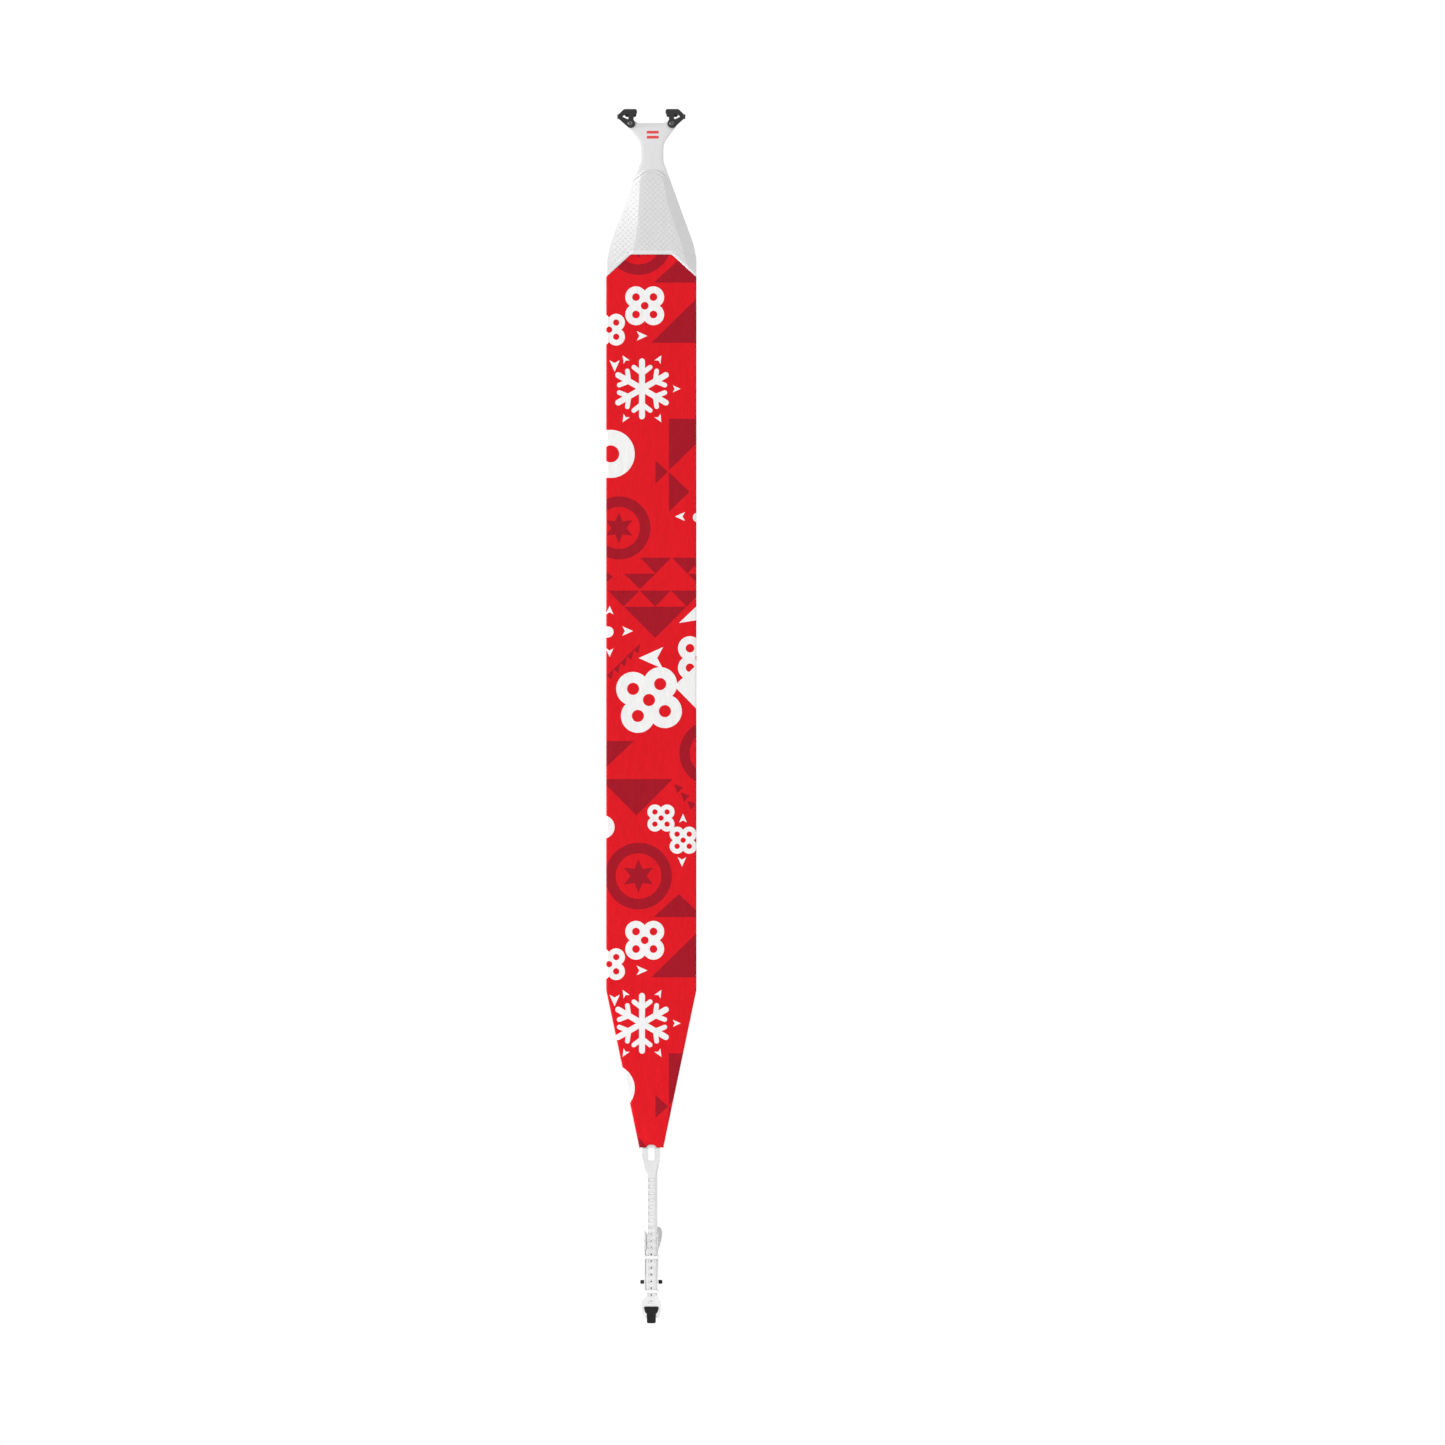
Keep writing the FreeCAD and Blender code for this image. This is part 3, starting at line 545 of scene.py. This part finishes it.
RED_PLUSH = plush_material("plush_red", (0.745, 0.0105, 0.0185, 1.0), (0.84, 0.05, 0.05, 1.0))
DARK_PLUSH = plush_material("plush_dark_red", (0.376, 0.0095, 0.021, 1.0), (0.44, 0.03, 0.04, 1.0))
WHITE_PLUSH = plush_material("plush_white", (0.89, 0.885, 0.88, 1.0), (0.93, 0.86, 0.85, 1.0))
PLUSH_INKS = [RED_PLUSH, DARK_PLUSH, WHITE_PLUSH]
CLOTH_GREY = woven_material("backing_weave", (0.16, 0.16, 0.17, 1.0), 1400.0, 0.08)
GLUE_COAT = adhesive_material()
FILM_SKIN = film_material()
LAMINATE = laminate_material("nose_laminate", (0.72, 0.72, 0.72, 1.0))
# painted highlight: a paler laminate for the band along the nose's lower edge
RIM_HIGHLIGHT = laminate_material("nose_rim_highlight", (0.80, 0.80, 0.805, 1.0))
WHITE_ELASTOMER = moulded_material("white_elastomer", (0.75, 0.75, 0.75, 1.0), 0.42)
WHITE_NYLON = moulded_material("white_nylon", (0.85, 0.85, 0.84, 1.0), 0.5, 0.08, 0.95)
BLACK_NYLON = moulded_material("black_nylon", (0.03, 0.03, 0.032, 1.0), 0.5, 0.08, 0.8)
PATCH = woven_material("coated_tape", (0.60, 0.60, 0.61, 1.0), 1100.0, 0.06, "Object", 0.3)
POWDER_COAT = powder_coat_material()
RUBBER = rubber_material()
STEEL = metal_material("brushed_steel", (0.73, 0.73, 0.74, 1.0), 0.48)
ZINC = metal_material("turned_zinc", (0.62, 0.62, 0.63, 1.0), 0.36)
DARK_ZINC = metal_material("dark_zinc", (0.13, 0.13, 0.135, 1.0), 0.42)
WIRE = metal_material("spring_wire", (0.50, 0.50, 0.51, 1.0), 0.3, "Z")
RED_INK = ink_material("red_ink", (0.80, 0.06, 0.055, 1.0))

FINISH = {
    "tip_patch": PATCH, "tail_patch": PATCH, "tip_hook_left": POWDER_COAT, "tip_hook_right": POWDER_COAT,
    "tip_rivet_left": DARK_ZINC, "tip_rivet_right": DARK_ZINC, "tip_spacer_left": BLACK_NYLON,
    "tip_spacer_right": BLACK_NYLON, "tip_burr_left": ZINC, "tip_burr_right": ZINC, "neck_rivets": ZINC,
    "tail_rivets": ZINC, "tail_strap": WHITE_ELASTOMER, "pull_tab": RUBBER,
    "tail_hook": STEEL, "hook_rivets": ZINC, "clip_body": WHITE_NYLON, "guide_block": BLACK_NYLON,
    "cam_axle": ZINC, "axle_caps": RUBBER, "cam_spring": WIRE, "cam_lever": BLACK_NYLON,
}


def finish_cad_nodes():
    """Each CAD piece that shows gets its material, its edges broken and smooth shading."""
    for node, material in FINISH.items():
        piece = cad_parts[node]
        piece.data.materials.clear()
        piece.data.materials.append(material)
        if "custom_normal" in piece.data.attributes:
            piece.data.attributes.remove(piece.data.attributes["custom_normal"])
        piece.data.shade_smooth()
        weld = piece.modifiers.new("weld", "WELD")
        weld.merge_threshold = 0.0005 * MM
        bevel = piece.modifiers.new("broken_edges", "BEVEL")
        bevel.width = 0.22 * MM
        bevel.segments = 2
        bevel.limit_method = "ANGLE"
        bevel.angle_limit = math.radians(35)
        bevel.harden_normals = False
        normals = piece.modifiers.new("normals", "WEIGHTED_NORMAL")
        normals.mode = "FACE_AREA"
        normals.keep_sharp = True


# ---- outlines --------------------------------------------------------------------------------------------
def flank_half(z):
    """Half the width between the nose's flanks at a height."""
    share = (FLANK_TOP - z) / (FLANK_TOP - SHOULDER[1])
    return NECK_HALF + share * (SHOULDER[0] - NECK_HALF)


def taper_half(z):
    """Half the width of the tail's taper at a height."""
    share = (TAPER_TOP - z) / (TAPER_TOP - TAIL_END)
    return HALF + share * (TAIL_HALF - HALF)


def nose_dome(inset):
    """The right half of the nose's rounded top, drawn in by an inset."""
    lower = DOME_END - inset
    return [(DOME_FLAT, NOSE_TOP - inset), (flank_half(lower) - inset, lower)]


def strip_outline(top, top_radii, end):
    """Cloth, film or adhesive, in one piece from the nose to the tail."""
    half = top + [SHOULDER, (HALF, STRAIGHT_TOP), (HALF, TAPER_TOP), (taper_half(end), end)]
    return both_sides(half, top_radii + [30.0, 30.0, 20.0, 1.5])


def plush_outline():
    """The plush, from the nose's lower edge to the notch over the strap's head."""
    half = [(PLUSH_TOP_HALF, PLUSH_TOP), (HALF, FULL_WIDTH_TOP), (HALF, TAPER_TOP), (TAIL_HALF, TAIL_END)]
    half += [(8.0, TAIL_END), (4.0, TAIL_END + 4.0)]
    return both_sides(half, [8.0, 1.0, 20.0, 1.5, 3.0, 3.0])


# ---- the print -------------------------------------------------------------------------------------------
RED, DARK, WHITE = 0, 1, 2  # places in PLUSH_INKS
REPEAT = 916.0              # length of one repeat of the print
REPEAT_TOP = -249.3         # height at which the first whole repeat begins


def disc(x, v, radius, ink):
    """A round shape."""
    count = max(20, int(radius * 1.6))
    turn = 2 * math.pi / count
    return (ink, [(x + radius * math.cos(i * turn), v + radius * math.sin(i * turn)) for i in range(count)])


def stroke(start, end, width, ink=WHITE):
    """A straight stroke with round ends."""
    angle = math.atan2(end[1] - start[1], end[0] - start[0])
    loop = []
    for centre, first in ((end, angle - math.pi / 2), (start, angle + math.pi / 2)):
        for k in range(7):
            a = first + math.pi * k / 6
            loop.append((centre[0] + width / 2 * math.cos(a), centre[1] + width / 2 * math.sin(a)))
    return (ink, loop)


def ring(x, v, outer, inner, ink=DARK):
    """A disc with a red one on it."""
    return [disc(x, v, outer, ink), disc(x, v, inner, RED)]


def badge(x, v, outer, inner):
    """A dark ring round a dark six-pointed star."""
    points = []
    for i in range(12):
        radius = inner * (0.74 if i % 2 == 0 else 0.36)
        a = math.radians(30 * i)
        points.append((x + radius * math.sin(a), v - radius * math.cos(a)))
    return ring(x, v, outer, inner) + [(DARK, points)]


def flower(x, v, size, turn=45.0):
    """Four white discs round a centre, each with a red eye."""
    places = [(x + 0.27 * size * math.cos(math.radians(turn + 90 * i)),
               v + 0.27 * size * math.sin(math.radians(turn + 90 * i))) for i in range(4)]
    shapes = [disc(px, pv, 0.235 * size, WHITE) for px, pv in places]
    shapes += [disc(px, pv, 0.085 * size, RED) for px, pv in places]
    return shapes + [disc(x, v, 0.085 * size, RED)]


def crystal(x, v, size, width, turn=0.0):
    """A six-armed snow crystal of round-ended strokes."""
    shapes = []
    for i in range(6):
        a = math.radians(turn + 60 * i)
        arm = (math.cos(a), math.sin(a))
        tip = (x + arm[0] * (size - width) / 2, v + arm[1] * (size - width) / 2)
        shapes.append(stroke((x, v), tip, width))
        for side in (-1, 1):
            b = a + side * math.radians(52)
            foot = (x + arm[0] * size * 0.25, v + arm[1] * size * 0.25)
            end = (foot[0] + size * 0.17 * math.cos(b), foot[1] + size * 0.17 * math.sin(b))
            shapes.append(stroke(foot, end, width * 0.8))
    return shapes


def dart(x, v, size, turn):
    """A small hollow-backed arrowhead that points along turn, in degrees from +X towards the tail."""
    a = math.radians(turn)
    loop = []
    for reach, angle in ((0.62, 0.0), (0.62, 2.3), (0.16, math.pi), (0.62, -2.3)):
        loop.append((x + size * reach * math.cos(a + angle), v + size * reach * math.sin(a + angle)))
    return (WHITE, loop)


def hanging(x, v, width, height):
    """A dark triangle that hangs from a level edge."""
    return (DARK, [(x, v), (x + width, v), (x + width / 2, v + height)])


def saw(x, v, count, size):
    """A row of small dark teeth that runs down to the left."""
    teeth = []
    for i in range(count):
        cx, cv = x - i * size, v + i * size * 0.97
        teeth.append((DARK, [(cx - size * 0.55, cv - size * 0.1), (cx + size * 0.5, cv - size * 1.1),
                             (cx + size * 0.15, cv + size * 0.5)]))
    return teeth


def repeat_shapes():
    """One repeat of the print, drawn in order, so that a later shape covers an earlier one."""
    edge = HALF + 6
    shapes = badge(-46.7, 353.2, 45.5, 30.3) + ring(88.4, 678.1, 47.7, 32.9) + badge(-18.5, 855.8, 48.1, 32.9)
    shapes.append((DARK, [(3.6, 915.0), (75.5, 915.0), (39.6, 881.8)]))
    shapes.append((DARK, [(0.0, 86.0), (edge, 86.0), (edge, 16.5)]))
    shapes.append((DARK, [(25.5, 195.7), (edge, 195.7), (edge, 226.0), (25.5, 270.0)]))
    shapes.append((DARK, [(6.0, 255.8), (24.1, 272.3), (6.0, 289.3)]))
    shapes.append((DARK, [(25.5, 272.3), (55.2, 301.2), (25.5, 330.0)]))
    shapes += [hanging(x, 396.1, 45.0, 23.2) for x in (-16.3, 29.6)]
    shapes += [hanging(x, 419.3, 45.8, 22.4) for x in (-39.4, 52.6)]
    shapes.append((DARK, [(-edge, 411.0), (-55.5, 424.0), (-edge, 437.0)]))
    shapes += [hanging(x, 443.7, 45.4, 23.2) for x in (-62.5, -17.1, 28.3)]
    shapes.append(hanging(-39.4, 467.0, 90.1, 45.0))
    shapes += saw(-20.5, 530.0, 5, 9.6)
    shapes.append((DARK, [(-edge, 660.8), (-25.0, 660.8), (-edge, 704.0)]))
    shapes.append(hanging(-74.0, 715.7, 105.0, 52.7))
    shapes += [(DARK, [(x, v), (x + 13.0, v + 4.5), (x + 4.5, v + 13.5)])
               for x, v in ((33.0, 723.0), (42.5, 735.0), (52.0, 747.0))]
    shapes += flower(-9.5, 32.5, 66.0) + flower(-61.0, 67.0, 54.0)
    shapes += [dart(-14.9, 76.0, 15.0, 0.0), dart(-53.0, 117.7, 16.0, 90.0)]
    shapes += crystal(-13.4, 152.4, 88.0, 8.5, 30.0)
    shapes += [dart(-13.4 + 49.0 * math.cos(a), 152.4 + 49.0 * math.sin(a), 11.0, math.degrees(a))
               for a in (math.radians(60 * i) for i in (-2, -1, 0, 1, 2))]
    shapes += ring(-58.6, 246.3, 34.7, 12.4, WHITE)
    shapes += [dart(42.9, 336.7, 14.0, 180.0), disc(67.0, 338.0, 7.0, WHITE)]
    shapes += [disc(-62.5, 503.4, 8.0, WHITE), dart(-35.7, 502.0, 15.0, 0.0), dart(-60.2, 473.0, 12.0, -90.0),
               dart(-60.2, 532.0, 12.0, 90.0)]
    shapes.append((WHITE, [(edge, 461.0), (40.0, 490.4), (edge, 485.5)]))
    shapes += flower(-3.3, 601.6, 104.0, 35.0) + [dart(3.0, 541.0, 34.0, 180.0)]
    shapes += flower(70.0, 541.0, 74.0) + [(WHITE, [(32.8, 581.4), (edge, 546.0), (edge, 620.0)])]
    shapes += flower(14.0, 772.0, 46.0) + flower(46.0, 804.0, 46.0)
    shapes += [dart(45.8, 773.5, 12.0, -90.0), dart(44.3, 834.0, 13.0, 90.0), disc(-70.0, 785.0, 17.0, WHITE)]
    return shapes


def print_areas():
    """The repeats of the print that fall on the strip, as (material, outline) pairs in millimetres."""
    areas = []
    low, high = TAIL_END - 1, PLUSH_TOP + 1
    for k in (-1, 0, 1):
        top = REPEAT_TOP - k * REPEAT
        for ink, loop in repeat_shapes():
            moved = [(x, top - v) for x, v in loop]
            heights = [z for _, z in moved]
            if max(heights) > low and min(heights) < high:
                areas.append((ink, split(moved, 4.0)))
    return areas


# ---- the strip's pieces ----------------------------------------------------------------------------------
def rippled(size, height, seed):
    """A gentle unevenness over a face."""
    def lift(x, z, d):
        places = [Vector((a / size, b / (1.6 * size), seed)) for a, b in zip(x, z)]
        return np.array([noise.noise(place) * height for place in places])
    return lift


def bent(piece):
    """Bakes the piece's placement into its mesh; nothing here bends it over the fold."""
    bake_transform(piece)


def make_plush():
    outline = split(plush_outline(), 4.0)
    ripple, rim = rippled(9.0, 0.16, 1.7), rolled(1.6, 0.8)

    def front(x, z, d):
        return ripple(x, z, d) * np.clip(d / 3, 0, 1) + rim(x, z, d) - 0.05

    piece = slab("plush", outline, PLUSH, front, PLUSH_INKS, rings=(0.5, 1.1, 1.8), areas=print_areas(),
                 points=lattice(outline, 3.2, 3.0))
    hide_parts("plush_front", "plush_rear")
    bent(piece)


def make_backing():
    """The cloth, the film and the adhesive, in one piece each."""
    dome = nose_dome(0.4)
    bare = [(flank_half(GLUE_TOP), GLUE_TOP)]
    for name, slot, layer, top, radii, end, material, height in (
            ("cloth", "backing", CLOTH, dome, DOME_RADII, TAIL_END, CLOTH_GREY, 0.0),
            ("film", "film", FILM, dome, DOME_RADII, TAIL_END, FILM_SKIN, 0.0),
            ("adhesive", "adhesive", GLUE, bare, DOME_RADII[1:], GLUE_END, GLUE_COAT, 0.09)):
        outline = split(strip_outline(top, radii, end), 6.0)
        ripple = rippled(14.0, height, 5.0)

        def face(x, z, d, ripple=ripple):
            return ripple(x, z, d) * np.clip(d / 4, 0, 1) - 0.25 * np.clip(1 - d / 0.8, 0, 1) ** 2

        exposed = name == "adhesive"
        piece = slab(name, outline, layer, plane, [material], rings=(0.4, 0.9) if exposed else (),
                     points=lattice(outline, 6.0, 4.0), back=face if exposed else None)
        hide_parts(name + "_front", name + "_rear")
        bent(piece)


def make_pile_edge():
    """The loose fibre ends along the plush's cut edges, leaning towards the tail."""
    outline = split(plush_outline(), 0.9)
    inks = np.zeros(len(outline), int)
    for ink, loop in print_areas():
        inks[distance_to(loop, outline)[1]] = ink
    verts, faces, slots = [], [], []
    sign = 1 if area_of(outline) > 0 else -1
    for i, (x, z) in enumerate(outline):
        if z > FULL_WIDTH_TOP - 1:
            continue
        along = (Vector(outline[(i + 1) % len(outline)]) - Vector(outline[i - 1])).normalized()
        out = Vector((along.y, -along.x)) * sign
        for depth in (-1.6, -2.4, -3.0):
            length = random.uniform(0.7, 1.5)
            lean = random.uniform(0.5, 1.1)
            root = Vector((x, depth + random.uniform(-0.2, 0.2), z)) - Vector((out.x, 0, out.y)) * 0.5
            tip = root + Vector((out.x * length, random.uniform(-0.5, 0.2), out.y * length - lean))
            base = len(verts)
            width = random.uniform(0.10, 0.18)
            side = Vector((along.x, 0, along.y)) * width
            verts += [root + side, root - side, root + Vector((0, -width * 1.4, 0)), tip]
            faces += [(base, base + 1, base + 3), (base + 1, base + 2, base + 3), (base + 2, base, base + 3),
                      (base, base + 2, base + 1)]
            slots += [int(inks[i])] * 4
    mesh = painted("plush_fringe", [tuple(v * MM) for v in verts], faces, slots, PLUSH_INKS)
    piece = link("plush_fringe", mesh)
    bent(piece)


# ---- the nose and the yoke -------------------------------------------------------------------------------
def front_of(node):
    """A function that gives how far a CAD node's front stands out at (x, z), in millimetres."""
    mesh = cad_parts[node].data
    tree = BVHTree.FromPolygons([v.co for v in mesh.vertices], [tuple(p.vertices) for p in mesh.polygons])

    def height(x, z):
        out = []
        for a, b in zip(x, z):
            hit = tree.ray_cast(Vector((a * MM, -0.05, b * MM)), Vector((0, 1, 0)))[0]
            hit = hit or tree.find_nearest(Vector((a * MM, -0.004, b * MM)))[0]
            out.append(-hit.y / MM)
        return np.array(out)
    return height


def crease_at(crease, z):
    """Where one of the nose's creases is at a height."""
    heights = [point[1] for point in crease[::-1]]
    return np.interp(z, heights, [point[0] for point in crease[::-1]])


def emboss_rows(outline):
    """The middles of the nose's embossed dashes, in staggered rows, and free points between the rows."""
    dashes, between = [], []
    row, z = 0, NOSE_TOP - 13.0
    while z > FULL_WIDTH_TOP + 8:
        shift = (row % 2) * DASH_PITCH / 2
        dashes += [(shift + DASH_PITCH * i, z) for i in range(-9, 9)]
        between += [(DASH_PITCH / 4 * i, z - ROW_PITCH / 2) for i in range(-34, 35)]
        z -= ROW_PITCH
        row += 1
    reach = DASH_REACH + DASH_FOOT + 0.6
    for crease in CREASES:
        dashes = [(x, z) for x, z in dashes if abs(x - crease_at(crease, z)) > reach]
    near, inside = distance_to(outline, dashes)
    margins = [6.8 if z < PLUSH_TOP + 9 else 4.2 for _, z in dashes]
    dashes = [p for p, gap, ok, margin in zip(dashes, near, inside, margins) if ok and gap > margin]
    near, inside = distance_to(outline, between)
    between = [p for p, gap, ok in zip(between, near, inside) if ok and gap > 4.8]
    return dashes, between


def make_nose():
    """The nose cover: three facets, a bead along its lower edge, a band painted paler as a highlight and rows
    of embossed dashes.
    """
    half = nose_dome(0.0) + [SHOULDER, (HALF, STRAIGHT_TOP)]
    half += [(HALF, FULL_WIDTH_TOP), (PLUSH_TOP_HALF, PLUSH_TOP)]
    outline = split(both_sides(half, DOME_RADII + [30.0, 30.0, 0.6, 8.0]), 2.0)
    height = front_of("nose_cover")
    lower = [(-HALF, FULL_WIDTH_TOP), (-PLUSH_TOP_HALF, PLUSH_TOP), (PLUSH_TOP_HALF, PLUSH_TOP),
             (HALF, FULL_WIDTH_TOP)]
    highlight_band = lower + [(x, z + RIM_BAND) for x, z in reversed(lower)]
    dashes, between = emboss_rows(outline)

    def above_edge(x, z):
        """How far a point is above the lower edge, or above its slanting sides if those are nearer."""
        slanting = (z - FULL_WIDTH_TOP - (HALF - np.abs(x)) * LEDGE_SLOPE) * LEDGE_COS
        return np.where(np.abs(x) < PLUSH_TOP_HALF, z - PLUSH_TOP, np.minimum(z - PLUSH_TOP, slanting))

    def under_dome(x, z):
        """How far a point is below the nose's top or its dome's sides."""
        slanting = (NOSE_TOP - z - (np.abs(x) - DOME_FLAT) * DOME_SLOPE) * DOME_COS
        return np.minimum(NOSE_TOP - z, slanting)

    def gap_to_dash(x, z):
        gap = np.full(len(x), np.inf)
        for middle, level in dashes:
            gap = np.minimum(gap, np.hypot(np.maximum(np.abs(x - middle) - DASH_REACH, 0), z - level))
        return gap

    def front(x, z, d):
        lift = height(x * (1 - 0.02 * np.clip(1 - d, 0, 1)), z) + CLOTH[1]
        lift += 0.35 * np.exp(-((above_edge(x, z) - 2.2) / 1.3) ** 2)       # a bead
        lift -= 0.6 * np.exp(-((under_dome(x, z) - 3.2) / 0.9) ** 2)        # a groove
        lift += DASH_RISE * np.clip((DASH_FOOT - gap_to_dash(x, z)) / (DASH_FOOT - DASH_TOP), 0, 1)
        return lift - 0.5 * np.clip(1 - d / 0.9, 0, 1) ** 2

    lines = list(CREASES)
    for x, z in dashes:
        for radius in (DASH_FOOT + 0.2, DASH_FOOT, DASH_TOP):
            loop = stroke((x - DASH_REACH, z), (x + DASH_REACH, z), 2 * radius)[1]
            lines.append(loop + loop[:1])
    points = between + lattice(outline, 2.2, 4.8)
    across, along = np.array(points).T
    free = gap_to_dash(across, along) > 2 * DASH_FOOT
    for crease in CREASES:
        free &= np.abs(across - crease_at(crease, along)) > 0.8
    piece = slab("nose", outline, (CLOTH[1], CLOTH[1]), front, [LAMINATE, RIM_HIGHLIGHT],
                 rings=(0.3, 0.9, 2.0, 3.2, 4.4), areas=[(1, highlight_band)], lines=lines,
                 points=[p for p, ok in zip(points, free) if ok])
    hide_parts("nose_cover")
    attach(piece, "skin_front")


def make_yoke():
    """The Y of the tip: a neck with a broad bevel along each side, and two arms that end in round lobes."""
    arm = [(18.0, -18.0), (24.0, -15.2)]
    for k in range(10):
        angle = math.radians(112 - 16 * k)
        arm.append((PIVOT[0] + LOBE_RADIUS * math.cos(angle), PIVOT[1] + LOBE_RADIUS * math.sin(angle)))
    arm += [(NECK_HALF, NECK_TOP), (NECK_HALF, FLANK_TOP), (flank_half(WAIST), WAIST)]
    arm += [(ROOT_HALF, WAIST - 2.5), (ROOT_HALF, NECK_ROOT)]
    outline = split(both_sides(arm, [10.0, 4.0] + [0.0] * 10 + [24.0, 12.0, 1.0, 1.0, 8.0]), 2.5)
    bores = [disc(side * PIVOT[0], PIVOT[1], BORE_RADIUS, 0)[1] for side in (-1, 1)]

    def front(x, z, d):
        bevel = 0.33 + 0.12 * np.clip(-x / 10, -1, 1)
        return -bevel * np.clip(1 - d / 4.6, 0, 1) - 0.4 * np.clip(1 - d / 0.7, 0, 1) ** 2

    piece = slab("yoke", outline, MOULDING, front, [WHITE_ELASTOMER], rings=(0.25, 0.7, 2.4, 4.6),
                 holes=bores, points=lattice(outline, 4.0, 5.4))
    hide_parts("tip_yoke")
    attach(piece, "skin_front")


def make_label():
    """A small printed mark on the yoke: two plain level bars, which stand for the printed label."""
    for i, z in enumerate(LABEL_HEIGHTS):
        loop = both_sides([(LABEL_LENGTH / 2, z + 2.0), (LABEL_LENGTH / 2, z - 2.0)], [1.2, 1.2])
        loop = [(px + LABEL_MIDDLE, pz) for px, pz in loop]
        piece = slab("label_bar_" + str(i + 1), loop, LABEL, plane, [RED_INK])
        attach(piece, "skin_front")


# ---- the studio ------------------------------------------------------------------------------------------
FLOOR_HEIGHT = -1.80
MIDDLE = (0, 0, -0.85)      # what the lamps point at
LAMPS = (                   # name, place, size and power
    ("key", (-2.6, -4.0, -0.3), 2.2, 81.0), ("rim", (-5.0, -0.17, -0.2), 1.0, 540.0),
    ("top", (1.8, -2.6, 2.7), 2.0, 20.0), ("back", (2.5, 4.0, 1.5), 2.5, 70.0),
)
LENS, SENSOR = 135.0, 36.0
VIEW_WIDTH = 2.087          # width of what the camera sees at the skin, in metres
VIEW_MIDDLE = (0.1028, -0.8834)


def make_stage():
    """A pale floor that fades into a white surround."""
    bpy.ops.mesh.primitive_circle_add(vertices=96, radius=14.0, fill_type="NGON",
                                      location=(0, 0, FLOOR_HEIGHT))
    floor = bpy.context.object
    floor.name = "floor"
    m = Recipe("floor_pale")
    m.surface(Base_Color=(0.86, 0.86, 0.865, 1.0), Roughness=0.8, Specular_IOR_Level=0.2)
    length = m.add("ShaderNodeVectorMath", operation="LENGTH")
    m.set(length.inputs[0], m.place)
    fade = m.add("ShaderNodeMapRange", {"Value": length.outputs["Value"], "From Min": 0.1, "From Max": 1.1},
                 interpolation_type="SMOOTHSTEP")
    clear = m.add("ShaderNodeBsdfTransparent").outputs[0]
    mixed = m.add("ShaderNodeMixShader", {0: fade.outputs["Result"], 1: m.shader.outputs[0], 2: clear})
    m.set(m.tree.nodes["Material Output"].inputs["Surface"], mixed.outputs[0])
    floor.data.materials.append(m.material)

    bpy.ops.mesh.primitive_uv_sphere_add(segments=48, ring_count=24, radius=40.0)
    surround = bpy.context.object
    surround.name = "surround"
    white = bpy.data.materials.new("surround_white")
    white.use_nodes = True
    nodes = white.node_tree.nodes
    nodes.remove(nodes["Principled BSDF"])
    glow = nodes.new("ShaderNodeEmission")
    glow.inputs["Color"].default_value = (1.0, 1.0, 1.0, 1.0)
    white.node_tree.links.new(glow.outputs[0], nodes["Material Output"].inputs["Surface"])
    surround.data.materials.append(white)
    surround.visible_diffuse = False
    surround.visible_glossy = False
    surround.visible_transmission = False
    surround.visible_shadow = False


def make_lights():
    """A white world and four soft lamps."""
    world = bpy.data.worlds.new("soft_studio")
    world.use_nodes = True
    world.node_tree.nodes["Background"].inputs["Color"].default_value = (1.0, 1.0, 1.0, 1.0)
    world.node_tree.nodes["Background"].inputs["Strength"].default_value = 0.57
    bpy.context.scene.world = world
    for name, place, size, power in LAMPS:
        lamp = bpy.data.lights.new(name, "AREA")
        lamp.shape = "DISK"
        lamp.size = size
        lamp.energy = power
        holder = bpy.data.objects.new(name, lamp)
        holder.location = place
        aim = Vector(MIDDLE) - Vector(place)
        holder.rotation_euler = aim.to_track_quat("-Z", "Y").to_euler()
        bpy.context.scene.collection.objects.link(holder)


def make_camera():
    """Square on to the plush, from far away, with the skin a little left of the middle."""
    camera = bpy.data.cameras.new("camera")
    camera.lens = LENS
    camera.sensor_width = SENSOR
    camera.clip_end = 200.0
    holder = bpy.data.objects.new("camera", camera)
    holder.location = (VIEW_MIDDLE[0], -VIEW_WIDTH / SENSOR * LENS, VIEW_MIDDLE[1])
    holder.rotation_euler = (math.pi / 2, 0, 0)
    bpy.context.scene.collection.objects.link(holder)
    bpy.context.scene.camera = holder
    bpy.context.scene.view_settings.view_transform = "Standard"


finish_cad_nodes()
make_plush()
make_backing()
make_pile_edge()
make_nose()
make_yoke()
make_label()
make_stage()
make_lights()
make_camera()
